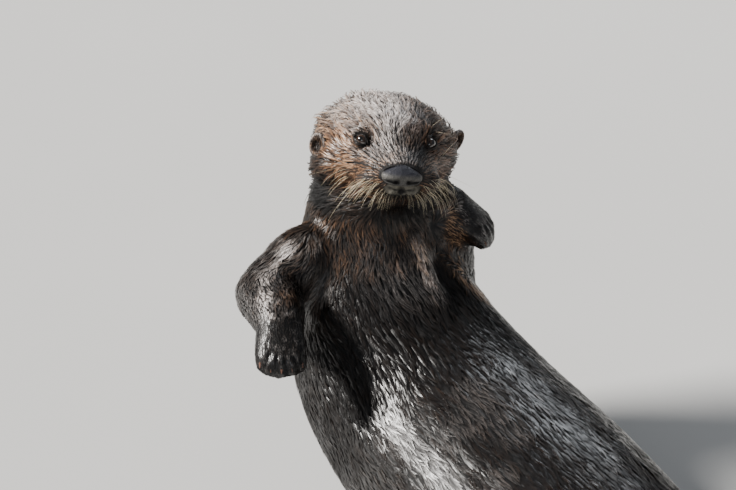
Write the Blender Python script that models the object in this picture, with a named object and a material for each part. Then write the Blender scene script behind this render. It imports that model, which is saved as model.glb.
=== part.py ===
"""Sea otter, life size, lying on its back with the head raised and the forepaws up, as a museum's still model.

Metres, +Z up. +Y runs from the hips towards the head, +X is the otter's left side, and the back rests on Z = 0.
The flesh is modelled whole, coat included, from lofted limbs that are welded by one voxel remesh. Closed tubes and
half spaces then part it, with a thin gap, into the nodes that a person would name.
"""

import math

import bmesh
import bpy
from mathutils import Matrix, Vector
from mathutils.bvhtree import BVHTree

# ---- driving dimensions ----
VOXEL = 0.0035  # weld grid of the flesh
SMOOTH_PASSES = 9
FLESH_TRIANGLES = 3000
GAP = 0.0004  # air between neighbouring solids
RING_POINTS = 28
FLOOR = 0.0

TRUNK_HALF_WIDTH = 0.129
TRUNK_HALF_DEPTH = 0.103
HIP_Y, CHEST_Y = -0.34, 0.155

HEAD_CENTRE = Vector((0.031, 0.247, 0.345))
HEAD_YAW = math.radians(15)  # the face turns from -Y towards the otter's right
HEAD_PITCH = math.radians(14)  # and looks up this much
HEAD_ROLL = math.radians(-11)  # the crown leans to the otter's left
HEAD_HALF_WIDTH = 0.0722
HEAD_HALF_HEIGHT = 0.052
HEAD_BACK, HEAD_FRONT = -0.072, 0.085
SKULL_SHIFT = 0.0032  # the back of the head lies this far to the left of the line through the nose

EYE_RADIUS = 0.0075
EYE_PROUD = 0.0022  # how far the eyeball stands out of the face
EYE_SIDE, EYE_UP = 0.0365, 0.0220
NOSE_SIZE = (0.0100, 0.0215, 0.0108)  # half depth, width, height
NOSE_UP = -0.0015
EAR_SIZE = (0.0055, 0.0105, 0.0130)  # half thickness, width, height
EAR_LEAN = {-1: -0.05, 1: 0.60}  # how far each ear leans out: the right one lies flat
EAR_TURN = {-1: 1.10, 1: 0.65}  # how far its hollow faces out instead of ahead
EAR_ALONG = {-1: 0.006, 1: -0.010}
EAR_UP = {-1: -0.002, 1: 0.004}

FORELEG_RADIUS = 0.034
FOREPAW_HALF_WIDTH = 0.027
FOREPAW_LENGTH = 0.066
TOE_RADIUS = 0.0066
CLAW_LENGTH, CLAW_RADIUS = 0.0078, 0.0017
# back from a toe's end and up from its middle, in toe radii, and how far a claw's point drops (m)
FORE_CLAW_SEAT = (1.00, 0.86, 0.0010)
HIND_CLAW_SEAT = (0.10, 0.42, 0.0022)

FLIPPER_LENGTH = 0.185
FLIPPER_SPREAD = 0.118  # across the outer toes
TAIL_LENGTH = 0.29

SIDES = (("right", -1), ("left", 1))
FUR = ("fur", (0.075, 0.048, 0.032), 0.45)
HEAD_FUR = ("head_fur", (0.21, 0.135, 0.085), 0.55)
PAW_FUR = ("paw_fur", (0.035, 0.028, 0.026), 0.35)
NOSE_SKIN = ("nose_skin", (0.022, 0.020, 0.022), 0.35)
EYE_DARK = ("eye_dark", (0.012, 0.008, 0.006), 0.08)
CLAW_HORN = ("claw_horn", (0.16, 0.07, 0.045), 0.35)


# ---- small tools ----
def clear_scene():
    for obj in list(bpy.data.objects):
        bpy.data.objects.remove(obj, do_unlink=True)


def material(finish):
    """A Principled material of a given name, colour and roughness, made once."""
    name, colour, roughness = finish
    mat = bpy.data.materials.get(name)
    if mat is None:
        mat = bpy.data.materials.new(name)
        mat.use_nodes = True
        shader = mat.node_tree.nodes["Principled BSDF"]
        shader.inputs["Base Color"].default_value = (*colour, 1)
        shader.inputs["Roughness"].default_value = roughness
        shader.inputs["Metallic"].default_value = 0.0
    return mat


def new_object(name, mesh):
    obj = bpy.data.objects.new(name, mesh)
    bpy.context.scene.collection.objects.link(obj)
    return obj


def object_from(name, bm):
    mesh = bpy.data.meshes.new(name)
    bmesh.ops.recalc_face_normals(bm, faces=bm.faces)
    bm.to_mesh(mesh)
    bm.free()
    return new_object(name, mesh)


def apply_modifiers(obj):
    """Replaces the object's mesh by its evaluated one."""
    graph = bpy.context.evaluated_depsgraph_get()
    mesh = bpy.data.meshes.new_from_object(obj.evaluated_get(graph))
    obj.modifiers.clear()
    obj.data = mesh
    return obj


def boolean(obj, other, operation):
    """Applies one exact Boolean and removes the other object."""
    modifier = obj.modifiers.new(operation.lower(), "BOOLEAN")
    modifier.operation = operation
    modifier.object = other
    modifier.solver = "EXACT"
    apply_modifiers(obj)
    bpy.data.objects.remove(other)
    return obj


def smooth_values(rows, steps):
    """Catmull-Rom curve through rows of equal length, with a number of steps between each two."""
    padded = [rows[0], *rows, rows[-1]]
    out = []
    for i in range(1, len(padded) - 2):
        p0, p1, p2, p3 = padded[i - 1 : i + 3]
        for k in range(steps):
            t = k / steps
            out.append(
                tuple(
                    0.5 * (2 * b + (c - a) * t + (2 * a - 5 * b + 4 * c - d) * t**2 + (3 * b - a - 3 * c + d) * t**3)
                    for a, b, c, d in zip(p0, p1, p2, p3)
                )
            )
    out.append(tuple(rows[-1]))
    return out


def loft(bm, stations, side, steps=4, squareness=2.0, points=RING_POINTS):
    """Adds a closed tube through stations (centre, half width, half height). Its width lies along side.

    squareness 2 gives ellipses, and more gives boxier sections.
    """
    rows = smooth_values([(*centre, width, height) for centre, width, height in stations], steps)
    centres = [Vector(row[:3]) for row in rows]
    rings = []
    for i, row in enumerate(rows):
        ahead = (centres[min(i + 1, len(rows) - 1)] - centres[max(i - 1, 0)]).normalized()
        across = (Vector(side) - ahead * ahead.dot(Vector(side))).normalized()
        up = ahead.cross(across)
        ring = []
        for k in range(points):
            angle = 2 * math.pi * k / points
            c, s = math.cos(angle), math.sin(angle)
            x = row[3] * math.copysign(abs(c) ** (2 / squareness), c)
            y = row[4] * math.copysign(abs(s) ** (2 / squareness), s)
            ring.append(bm.verts.new(centres[i] + across * x + up * y))
        rings.append(ring)
    for low, high in zip(rings, rings[1:]):
        for k in range(points):
            n = (k + 1) % points
            bm.faces.new((low[k], low[n], high[n], high[k]))
    bm.faces.new(rings[0][::-1])
    bm.faces.new(rings[-1])


def rounded(stations, end=0.6):
    """The same stations with a smaller one past each end, so that the tube's ends are domes."""
    (c0, w0, h0), (c1, _, _) = stations[0], stations[1]
    (cm, _, _), (cn, wn, hn) = stations[-2], stations[-1]
    start = Vector(c0) + (Vector(c0) - Vector(c1)).normalized() * min(w0, h0) * end
    finish = Vector(cn) + (Vector(cn) - Vector(cm)).normalized() * min(wn, hn) * end
    return [(start, w0 * 0.45, h0 * 0.45), *stations, (finish, wn * 0.45, hn * 0.45)]


def ellipsoid(bm, frame, centre, radii, segments=20):
    """Adds an ellipsoid with its radii along the axes of a 4x4 frame, its centre in the same frame."""
    place = frame @ Matrix.Translation(centre) @ Matrix.Diagonal((*radii, 1))
    bmesh.ops.create_uvsphere(bm, u_segments=segments, v_segments=segments // 2, radius=1, matrix=place)


def frame_of(origin, forward, up):
    """4x4 frame whose X is forward, Y the left side and Z up."""
    x = Vector(forward).normalized()
    y = Vector(up).cross(x).normalized()
    z = x.cross(y)
    return Matrix.Translation(origin) @ Matrix((x, y, z)).transposed().to_4x4()


def head_frame():
    forward = Vector(
        (
            -math.sin(HEAD_YAW) * math.cos(HEAD_PITCH),
            -math.cos(HEAD_YAW) * math.cos(HEAD_PITCH),
            math.sin(HEAD_PITCH),
        )
    )
    level = frame_of(HEAD_CENTRE, forward, (0, 0, 1))
    return level @ Matrix.Rotation(HEAD_ROLL, 4, "X")


# ---- skeleton of the pose ----
def forelegs():
    """Shoulder, elbow, wrist and paw tip of each foreleg, and the way the back of its paw faces."""
    return {
        "right": (
            Vector((-0.062, 0.236, 0.250)),
            Vector((-0.115, 0.225, 0.238)),
            Vector((-0.140, 0.153, 0.256)),
            Vector((-0.164, 0.106, 0.236)),
            Vector((-0.10, -0.30, 0.95)),
        ),
        "left": (
            Vector((0.062, 0.232, 0.232)),
            Vector((0.080, 0.207, 0.190)),
            Vector((0.083, 0.205, 0.288)),
            Vector((0.122, 0.176, 0.246)),
            Vector((0.40, -0.35, 0.75)),
        ),
    }


def hindlegs(sign):
    """Hip, knee, ankle and outer toe tip of a hind leg, with its sole turned down and out."""
    return (
        Vector((0.010 + sign * 0.048, HIP_Y + 0.050, 0.084)),
        Vector((sign * 0.108, HIP_Y - 0.050, 0.082)),
        Vector((sign * 0.098, HIP_Y - 0.125, 0.046)),
        Vector((sign * 0.168, HIP_Y - 0.290, 0.112)),
    )


# ---- the flesh ----
def add_trunk(bm):
    w, h = TRUNK_HALF_WIDTH, TRUNK_HALF_DEPTH
    spine = [
        ((0, HIP_Y - 0.085, 0.062), 0.42 * w, 0.50 * h),
        ((0, HIP_Y - 0.030, 0.080), 0.78 * w, 0.78 * h),
        ((0.006, HIP_Y + 0.050, 0.092), 0.94 * w, 0.92 * h),
        ((0.012, HIP_Y + 0.160, 0.099), 1.00 * w, 1.00 * h),
        ((0.014, HIP_Y + 0.290, 0.103), 1.00 * w, 1.02 * h),
        ((0.010, HIP_Y + 0.410, 0.112), 0.95 * w, 0.99 * h),
        ((0.003, CHEST_Y, 0.145), 0.88 * w, 0.90 * h),
        ((0.005, CHEST_Y + 0.058, 0.198), 0.74 * w, 0.80 * h),
        ((0.016, CHEST_Y + 0.088, 0.262), 0.55 * w, 0.64 * h),
        ((0.030, CHEST_Y + 0.096, 0.322), 0.46 * w, 0.56 * h),
    ]
    loft(bm, spine, (1, 0, 0), squareness=2.15)


def add_tail(bm):
    start = Vector((0.004, HIP_Y - 0.055, 0))
    reach = TAIL_LENGTH + 0.055
    rows = (  # share of the length, centre height, half width, half height
        (0.00, 0.050, 0.046, 0.036),
        (0.25, 0.034, 0.037, 0.028),
        (0.50, 0.0205, 0.033, 0.023),
        (0.75, 0.0165, 0.029, 0.019),
        (0.97, 0.0095, 0.018, 0.012),
    )
    stations = [
        (start + Vector((0.016 * math.sin(2.2 * share), -reach * share, height)), width, depth)
        for share, height, width, depth in rows
    ]
    loft(bm, rounded(stations), (1, 0, 0))


def add_head(bm):
    frame = head_frame()
    w, h = HEAD_HALF_WIDTH, HEAD_HALF_HEIGHT
    profile = [
        (HEAD_BACK, -0.004, 0.40 * w, 0.46 * h),
        (-0.058, -0.002, 0.74 * w, 0.80 * h),
        (-0.036, 0.000, 0.94 * w, 0.95 * h),
        (-0.010, 0.001, 1.02 * w, 1.02 * h),
        (0.012, 0.000, 0.97 * w, 0.96 * h),
        (0.030, -0.003, 0.79 * w, 0.80 * h),
        (0.044, -0.005, 0.63 * w, 0.65 * h),
        (0.060, -0.006, 0.50 * w, 0.51 * h),
        (0.074, -0.005, 0.42 * w, 0.41 * h),
        (HEAD_FRONT, -0.004, 0.29 * w, 0.26 * h),
    ]
    stations = []
    for along, up, width, height in profile:
        share = min(1, max(0, (HEAD_FRONT - along) / (HEAD_FRONT + 0.010)))
        stations.append((frame @ Vector((along, SKULL_SHIFT * share**2, up)), width, height))
    loft(bm, stations, frame.col[1].to_3d(), squareness=1.9)
    ellipsoid(bm, frame, (0.050, 0, -0.026), (0.025, 0.023, 0.017))  # chin
    for side in (-1, 1):
        ellipsoid(bm, frame, (0.058, side * 0.0225, -0.0100), (0.0245, 0.0225, 0.0165))  # whisker pad
        ellipsoid(bm, frame, (0.000, side * 0.041, -0.011), (0.037, 0.0315, 0.027))  # cheek
        ellipsoid(bm, frame, (0.020, side * 0.033, 0.028), (0.016, 0.014, 0.010))  # brow


def add_foreleg(bm, joints):
    shoulder, elbow, wrist, tip, back = joints
    r = FORELEG_RADIUS
    inward = Vector((HEAD_CENTRE.x * 0.4, shoulder.y - 0.01, shoulder.z - 0.045))
    upper = [
        (shoulder.lerp(inward, 0.55), 1.25 * r, 1.15 * r),
        (shoulder, 1.16 * r, 1.08 * r),
        (shoulder.lerp(elbow, 0.55), 1.02 * r, 0.98 * r),
        (elbow, 0.96 * r, 0.90 * r),
    ]
    loft(bm, rounded(upper), back)
    lower = [
        (elbow, 0.98 * r, 0.92 * r),
        (elbow.lerp(wrist, 0.5), 0.90 * r, 0.80 * r),
        (wrist, 0.74 * r, 0.60 * r),
    ]
    across = (wrist - elbow).cross(back)
    loft(bm, rounded(lower), across)
    add_forepaw(bm, wrist, tip, back)


def forepaw_frame(wrist, tip, back):
    return frame_of(wrist, tip - wrist, back)


def forepaw_toes():
    """Root, tip and radius of the five toes in the paw's frame: X ahead, Y across, Z the back of the paw."""
    toes = []
    for n in range(5):
        spread = (n - 2) / 2
        reach = FOREPAW_LENGTH * (1.0 - 0.11 * spread**2)
        across = spread * (FOREPAW_HALF_WIDTH - TOE_RADIUS)
        toes.append(
            (
                Vector((0.45 * reach, 0.80 * across, 0.000)),
                Vector((reach - TOE_RADIUS, across, -0.0035)),
                TOE_RADIUS * (1.0 - 0.06 * abs(spread)),
            )
        )
    return toes


def add_forepaw(bm, wrist, tip, back):
    frame = forepaw_frame(wrist, tip, back)
    w, length = FOREPAW_HALF_WIDTH, FOREPAW_LENGTH
    rows = ((-0.16, 0.80, 0.018), (0.15, 0.88, 0.0165), (0.45, 0.98, 0.0140), (0.70, 0.96, 0.0110), (0.86, 0.80, 0.0080))
    stations = [(frame @ Vector((length * share, 0, 0)), w * width, height) for share, width, height in rows]
    loft(bm, stations, frame.col[1].to_3d())
    for root, end, radius in forepaw_toes():
        loft(bm, rounded([(frame @ root, radius, radius), (frame @ end, radius, radius)]), frame.col[1].to_3d())


def flipper_frame(sign):
    """X runs along the flipper, Y to the otter's left and Z out of its upper side."""
    _, _, ankle, toe = hindlegs(sign)
    return frame_of(ankle, toe - ankle, Vector((0, -0.35, 1)))


def flipper_toes(sign):
    """Root, tip and radius of the five hind toes. The outer toe is the longest."""
    toes = []
    for n in range(5):
        outward = n / 4  # 0 at the inner toe, 1 at the outer one
        reach = FLIPPER_LENGTH * (0.70 + 0.30 * outward)
        across = sign * FLIPPER_SPREAD * (outward - 0.5)
        toes.append(
            (
                Vector((0.22 * FLIPPER_LENGTH, 0.45 * across, 0.001)),
                Vector((reach, across, 0.004 * math.sin(math.pi * outward))),
                0.0088 - 0.0012 * abs(outward - 0.5),
            )
        )
    return toes


def add_hindleg(bm, sign):
    hip, knee, ankle, _ = hindlegs(sign)
    thigh = [(hip, 0.056, 0.052), (hip.lerp(knee, 0.6), 0.060, 0.056), (knee, 0.050, 0.049)]
    loft(bm, rounded(thigh), (0, 0, 1))
    shank = [(knee, 0.047, 0.045), (knee.lerp(ankle, 0.55), 0.038, 0.036), (ankle, 0.029, 0.030)]
    loft(bm, rounded(shank), (sign, 0, 0))
    frame = flipper_frame(sign)
    across = frame.col[1].to_3d()
    rows = ((-0.10, 0.0, 0.025, 0.024), (0.14, 0.0, 0.028, 0.017), (0.36, 0.02, 0.035, 0.0115), (0.60, 0.06, 0.043, 0.0075))
    plate = [
        (frame @ Vector((FLIPPER_LENGTH * share, sign * FLIPPER_SPREAD * shift, 0)), width, height)
        for share, shift, width, height in rows
    ]
    loft(bm, plate, across)
    toes = flipper_toes(sign)
    for root, end, radius in toes:
        rows = [
            (frame @ root, radius * 1.25, radius * 1.25),
            (frame @ root.lerp(end, 0.6), radius, radius),
            (frame @ end, 0.86 * radius, 0.86 * radius),
        ]
        loft(bm, rounded(rows), across)
    for (root_a, end_a, _), (root_b, end_b, _) in zip(toes, toes[1:]):
        middle_root, middle_end = root_a.lerp(root_b, 0.5), end_a.lerp(end_b, 0.5)
        half = (end_b - end_a).length / 2
        web = [
            (frame @ middle_root, half * 0.7, 0.0062),
            (frame @ middle_root.lerp(middle_end, 0.55), half * 0.9, 0.0052),
            (frame @ middle_root.lerp(middle_end, 0.90), half * 1.0, 0.0042),
        ]
        loft(bm, web, across)


def flesh():
    """The whole animal without eyes, nose and ears: lofts welded on one grid, softened, reduced and laid flat."""
    bm = bmesh.new()
    add_trunk(bm)
    add_tail(bm)
    add_head(bm)
    for _, sign in SIDES:
        add_hindleg(bm, sign)
    for joints in forelegs().values():
        add_foreleg(bm, joints)
    body = object_from("flesh", bm)
    weld = body.modifiers.new("weld", "REMESH")
    weld.mode = "VOXEL"
    weld.voxel_size = VOXEL
    soften = body.modifiers.new("soften", "SMOOTH")
    soften.factor = 0.5
    soften.iterations = SMOOTH_PASSES
    apply_modifiers(body)
    thin = body.modifiers.new("thin", "DECIMATE")
    thin.ratio = FLESH_TRIANGLES / (2 * len(body.data.polygons))
    apply_modifiers(body)
    level_underside(body)
    return body


def level_underside(body):
    """Cuts off what lies under the floor, so that back, tail and heels rest on flats at one level."""
    bm = bmesh.new()
    bm.from_mesh(body.data)
    geometry = [*bm.verts, *bm.edges, *bm.faces]
    bmesh.ops.bisect_plane(bm, geom=geometry, plane_co=(0, 0, FLOOR), plane_no=(0, 0, -1), clear_outer=True)
    rim = [edge for edge in bm.edges if edge.is_boundary]
    bmesh.ops.holes_fill(bm, edges=rim)
    bmesh.ops.triangulate(bm, faces=bm.faces)
    bm.to_mesh(body.data)
    bm.free()


# ---- small parts of the head ----
def face_hit(tree, frame, across, up):
    """Where a line towards the back of the head meets the face, and the surface's normal there."""
    start = frame @ Vector((0.2, across, up))
    place, normal, _, _ = tree.ray_cast(start, -frame.col[0].to_3d())
    return place, normal


def make_eye(name, tree, frame, side):
    place, normal = face_hit(tree, frame, side * EYE_SIDE, EYE_UP)
    bm = bmesh.new()
    centre = place - normal * (EYE_RADIUS - EYE_PROUD)
    bmesh.ops.create_icosphere(bm, subdivisions=2, radius=EYE_RADIUS, matrix=Matrix.Translation(centre))
    return object_from(name, bm)


def make_nose(name, tree, frame):
    place, _ = face_hit(tree, frame, 0, NOSE_UP)
    pad = frame.copy()
    pad.translation = place
    bm = bmesh.new()
    ellipsoid(bm, pad, (-0.0045, 0, 0), NOSE_SIZE, segments=16)
    for vert in bm.verts:
        local = pad.inverted() @ vert.co
        if local.z < 0:  # the pad narrows to the lip
            local.y *= 1 - 0.55 * min(1, -local.z / NOSE_SIZE[2])
        vert.co = pad @ local
    return object_from(name, bm)


def ear_frame(tree, frame, side):
    """Root of an ear on the side of the head. X points out, along the ear's thickness, and Z to its tip."""
    start = frame @ Vector((EAR_ALONG[side], side * 0.2, EAR_UP[side]))
    root, normal, _, _ = tree.ray_cast(start, -frame.col[1].to_3d() * side)
    tip_way = frame.col[2].to_3d() + normal * EAR_LEAN[side] - frame.col[0].to_3d() * 0.30
    facing = frame.col[0].to_3d() * 0.75 + normal * EAR_TURN[side]
    z = tip_way.normalized()
    x = (facing - z * facing.dot(z)).normalized()
    return Matrix.Translation(root) @ Matrix((x, z.cross(x), z)).transposed().to_4x4()


def make_ear(name, tree, frame, side):
    """A small leaf, hollow in front, with a thick rolled rim."""
    place = ear_frame(tree, frame, side)
    thick, wide, tall = EAR_SIZE
    bm = bmesh.new()
    ellipsoid(bm, place, (0, 0, 0.006), EAR_SIZE, segments=14)
    ear = object_from(name, bm)
    bm = bmesh.new()
    ellipsoid(bm, place, (thick * 0.95, 0, 0.0075), (thick * 0.80, wide * 0.68, tall * 0.72), segments=10)
    return boolean(ear, object_from("ear_hollow", bm), "DIFFERENCE")


def grown(obj, by):
    """A copy of a closed object, larger by a thin layer, to cut its seat with."""
    seat = new_object(obj.name + "_seat", obj.data.copy())
    bm = bmesh.new()
    bm.from_mesh(seat.data)
    bm.normal_update()
    shifts = [vert.normal * by for vert in bm.verts]
    for vert, shift in zip(bm.verts, shifts):
        vert.co += shift
    bm.to_mesh(seat.data)
    bm.free()
    return seat


# ---- claws ----
def loft_claw(bm, points, side, grow=0.0):
    """A tapering six-sided horn through three points."""
    ahead = (points[-1] - points[0]).normalized()
    across = (Vector(side) - ahead * ahead.dot(Vector(side))).normalized()
    up = ahead.cross(across)
    points = [points[0] - ahead * grow, points[1], points[2] + ahead * grow]
    rings = []
    for place, share in zip(points, (1.0, 0.78, 0.30)):
        r = CLAW_RADIUS * share + grow
        angles = [k * math.pi / 3 for k in range(6)]
        rings.append([bm.verts.new(place + across * r * math.cos(a) + up * r * math.sin(a)) for a in angles])
    for low, high in zip(rings, rings[1:]):
        for k in range(6):
            bm.faces.new((low[k], low[(k + 1) % 6], high[(k + 1) % 6], high[k]))
    bm.faces.new(rings[0][::-1])
    bm.faces.new(rings[-1])


def make_claws(paw, paw_name, frame, toes, back, rise, drop):
    """Seats a short curved claw in the upper side of each toe's end and returns the claws."""
    made = {}
    for n, (root, end, radius) in enumerate(toes):
        ahead = (end - root).normalized()
        start = end - ahead * radius * back + Vector((0, 0, radius * rise))
        points = (
            start,
            start + ahead * CLAW_LENGTH * 0.60 + Vector((0, 0, 0.0002)),
            start + ahead * CLAW_LENGTH - Vector((0, 0, drop)),
        )
        placed = [frame @ point for point in points]
        side = frame.col[1].to_3d()
        bm = bmesh.new()
        loft_claw(bm, placed, side, grow=GAP)
        boolean(paw, object_from("claw_seat", bm), "DIFFERENCE")
        bm = bmesh.new()
        loft_claw(bm, placed, side)
        name = f"claw_{paw_name}_{n + 1}"
        made[name] = (object_from(name, bm), CLAW_HORN)
    return made


# ---- parting ----
def tube_cutter(stations, side, grow):
    """A closed tube that holds one stretch of a limb. Its first end is the flat that parts the limb."""
    rows = [(Vector(centre), width + grow, height + grow) for centre, width, height in stations]
    for end, inner in ((0, 1), (-1, -2)):
        outward = (rows[end][0] - rows[inner][0]).normalized()
        rows[end] = (rows[end][0] + outward * grow, *rows[end][1:])
    bm = bmesh.new()
    loft(bm, rows, side, steps=1, squareness=2.6, points=14)
    bmesh.ops.triangulate(bm, faces=bm.faces, quad_method="FIXED")
    return object_from("cutter", bm)


def half_space(point, normal, grow):
    """A block on the side of a plane that its normal points to."""
    point, normal = Vector(point), Vector(normal).normalized()
    turn = normal.to_track_quat("Z", "Y").to_matrix().to_4x4()
    size = 1.4
    place = Matrix.Translation(point + normal * (size / 2 - grow)) @ turn
    bm = bmesh.new()
    bmesh.ops.create_cube(bm, size=size, matrix=place)
    return object_from("cutter", bm)


def limb_cutters():
    """Name, stations and side vector of every stretch of limb, from the tips inwards."""
    cutters = []
    for name, (shoulder, elbow, wrist, tip, back) in forelegs().items():
        paw = tip - wrist
        across = (wrist - elbow).cross(back)
        paw_side = forepaw_frame(wrist, tip, back).col[1].to_3d()
        r, w = FORELEG_RADIUS, FOREPAW_HALF_WIDTH
        cutters.append(
            (
                f"forepaw_{name}",
                [
                    (wrist + paw * 0.02, 1.30 * w, 0.032),
                    (wrist + paw * 0.60, 1.30 * w, 0.026),
                    (wrist + paw * 1.30, 1.25 * w, 0.024),
                ],
                paw_side,
            )
        )
        cutters.append(
            (
                f"forearm_{name}",
                [
                    (elbow.lerp(wrist, 0.22), 1.17 * r, 1.09 * r),
                    (elbow.lerp(wrist, 0.55), 1.08 * r, 0.98 * r),
                    (elbow.lerp(wrist, 1.00), 1.00 * r, 0.86 * r),
                    (wrist + (wrist - elbow).normalized() * 0.022, 0.90 * r, 0.80 * r),
                ],
                across,
            )
        )
        upper = (elbow - shoulder).normalized()
        cutters.append(
            (
                f"upper_arm_{name}",
                [
                    (shoulder.lerp(elbow, 0.10), 1.36 * r, 1.36 * r),
                    (shoulder.lerp(elbow, 0.60), 1.36 * r, 1.36 * r),
                    (elbow + upper * 0.020, 1.45 * r, 1.45 * r),
                    (elbow + upper * 0.048, 1.25 * r, 1.25 * r),
                ],
                back,
            )
        )
    for name, sign in SIDES:
        hip, knee, ankle, toe = hindlegs(sign)
        foot = (toe - ankle).normalized()
        side = flipper_frame(sign).col[1].to_3d()
        cutters.append(
            (
                f"hind_flipper_{name}",
                [
                    (ankle + foot * 0.012, 0.042, 0.034),
                    (ankle + foot * 0.070, 0.062, 0.034),
                    (ankle + foot * 0.260, 0.105, 0.034),
                ],
                side,
            )
        )
        shank = (ankle - knee).normalized()
        cutters.append(
            (
                f"shank_{name}",
                [
                    (knee.lerp(ankle, 0.26), 0.054, 0.056),
                    (knee.lerp(ankle, 0.80), 0.041, 0.044),
                    (ankle + shank * 0.050, 0.036, 0.044),
                ],
                (sign, 0, 0),
            )
        )
        cutters.append(
            (
                f"thigh_{name}",
                [
                    (hip.lerp(knee, 0.45), 0.072, 0.066),
                    (hip.lerp(knee, 0.80), 0.070, 0.062),
                    (knee + (knee - hip).normalized() * 0.055, 0.070, 0.062),
                ],
                (0, 0, 1),
            )
        )
    return cutters


def plane_cuts():
    """Name, point and normal of each cut across the head, neck and trunk. The normal points to the named part."""
    return [
        ("tail", (0, HIP_Y - 0.103, 0.045), (0, -1, -0.12)),
        ("head", (0.030, 0.249, 0.2955), (0.14, 0.10, 1)),
        ("neck", (0.006, 0.222, 0.236), (0.08, 0.50, 1)),
        ("chest", (0, 0.075, 0.115), (0, 1, 0.15)),
        ("belly", (0, -0.215, 0.100), (0, 1, 0)),
    ]


def largest_shell(obj):
    """Keeps the biggest closed shell of an object and drops crumbs that a cut left."""
    bm = bmesh.new()
    bm.from_mesh(obj.data)
    left, shells = set(bm.faces), []
    while left:
        shell, edge_of_shell = set(), [left.pop()]
        while edge_of_shell:
            face = edge_of_shell.pop()
            shell.add(face)
            for other in {near for edge in face.edges for near in edge.link_faces}:
                if other in left:
                    left.discard(other)
                    edge_of_shell.append(other)
        shells.append(shell)
    shells.sort(key=len, reverse=True)
    for crumb in shells[1:]:
        print("crumb", obj.name, len(crumb))
        bmesh.ops.delete(bm, geom=list(crumb), context="FACES")
    bm.to_mesh(obj.data)
    bm.free()
    return obj


def split_off(body, name, cutter):
    """Takes what lies in the cutter out of the body, and leaves a thin gap around it."""
    piece = new_object(name, body.data.copy())
    boolean(piece, cutter(0.0), "INTERSECT")
    boolean(body, cutter(GAP), "DIFFERENCE")
    return largest_shell(piece)


def part_flesh(body):
    """Cuts the flesh into its named parts, limbs first."""
    named = {}
    for name, stations, side in limb_cutters():
        named[name] = split_off(body, name, lambda grow: tube_cutter(stations, side, grow))
    for name, point, normal in plane_cuts():
        named[name] = split_off(body, name, lambda grow: half_space(point, normal, grow))
    body.name = "hips"
    named["hips"] = largest_shell(body)
    return named


def finish_object(obj, finish):
    obj.data.materials.clear()
    obj.data.materials.append(material(finish))
    obj.data.shade_smooth()
    obj.data.set_sharp_from_angle(angle=math.radians(50))


def centre_on_floor():
    """Moves everything so that the middle of the whole, seen from above, is over the origin."""
    meshes = [obj.data for obj in bpy.data.objects if obj.type == "MESH"]
    points = [vert.co for mesh in meshes for vert in mesh.vertices]
    middle = [(min(p[axis] for p in points) + max(p[axis] for p in points)) / 2 for axis in (0, 1)]
    lowest = min(p.z for p in points)
    print("moved by", [round(-m, 6) for m in (*middle, lowest)])
    for mesh in meshes:
        mesh.transform(Matrix.Translation((-middle[0], -middle[1], -lowest)))


def main():
    clear_scene()
    body = flesh()
    tree = BVHTree.FromPolygons([v.co for v in body.data.vertices], [p.vertices for p in body.data.polygons])
    frame = head_frame()
    small = {"nose": (make_nose("nose", tree, frame), NOSE_SKIN)}
    for name, sign in SIDES:
        small[f"eye_{name}"] = (make_eye(f"eye_{name}", tree, frame, sign), EYE_DARK)
        small[f"ear_{name}"] = (make_ear(f"ear_{name}", tree, frame, sign), HEAD_FUR)
    named = part_flesh(body)
    for obj, _ in small.values():
        boolean(named["head"], grown(obj, GAP), "DIFFERENCE")
    largest_shell(named["head"])
    for name, (_, _, wrist, tip, back) in forelegs().items():
        paw = forepaw_frame(wrist, tip, back)
        small.update(make_claws(named[f"forepaw_{name}"], f"fore_{name}", paw, forepaw_toes(), *FORE_CLAW_SEAT))
    for name, sign in SIDES:
        flipper = named[f"hind_flipper_{name}"]
        small.update(make_claws(flipper, f"hind_{name}", flipper_frame(sign), flipper_toes(sign), *HIND_CLAW_SEAT))
    for name, obj in named.items():
        bare = "paw" in name or "flipper" in name
        finish_object(obj, HEAD_FUR if name == "head" else PAW_FUR if bare else FUR)
    for obj, finish in small.values():
        finish_object(obj, finish)
    centre_on_floor()


main()
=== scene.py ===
"""Looks of a life-size sea otter, wet from the sea, lying on its back with its head raised.

One skin stands for all the flesh. Over it lie thousands of thin fur tufts, made as joined meshes. Their lie,
length and markings come from small tables and a few landmarks of the head.
Metres, +Z up; +X is the otter's left.
"""

import math

import bmesh
import bpy
import numpy as np
from mathutils import Matrix, Vector
from mathutils.bvhtree import BVHTree


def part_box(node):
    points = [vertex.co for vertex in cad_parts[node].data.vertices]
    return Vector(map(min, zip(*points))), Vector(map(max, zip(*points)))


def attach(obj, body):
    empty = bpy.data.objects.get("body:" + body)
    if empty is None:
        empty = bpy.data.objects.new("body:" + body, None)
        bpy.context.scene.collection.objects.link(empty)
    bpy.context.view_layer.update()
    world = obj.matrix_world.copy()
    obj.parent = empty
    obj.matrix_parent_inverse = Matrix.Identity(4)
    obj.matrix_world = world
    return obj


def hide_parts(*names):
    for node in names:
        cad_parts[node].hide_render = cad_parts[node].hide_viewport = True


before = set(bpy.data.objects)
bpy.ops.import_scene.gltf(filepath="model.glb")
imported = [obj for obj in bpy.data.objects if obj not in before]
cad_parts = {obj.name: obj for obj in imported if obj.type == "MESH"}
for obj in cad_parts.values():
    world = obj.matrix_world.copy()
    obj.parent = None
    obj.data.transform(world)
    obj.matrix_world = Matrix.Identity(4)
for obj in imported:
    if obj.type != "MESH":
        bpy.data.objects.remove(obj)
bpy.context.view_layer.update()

MM = 0.001
SIDES = {"right": -1, "left": 1}
LIMBS = ["upper_arm", "forearm", "forepaw", "thigh", "shank", "hind_flipper"]
FLESH_NODES = ["head", "neck", "chest", "belly", "hips", "tail"]
FLESH_NODES += [f"{limb}_{side}" for limb in LIMBS for side in SIDES]

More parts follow.
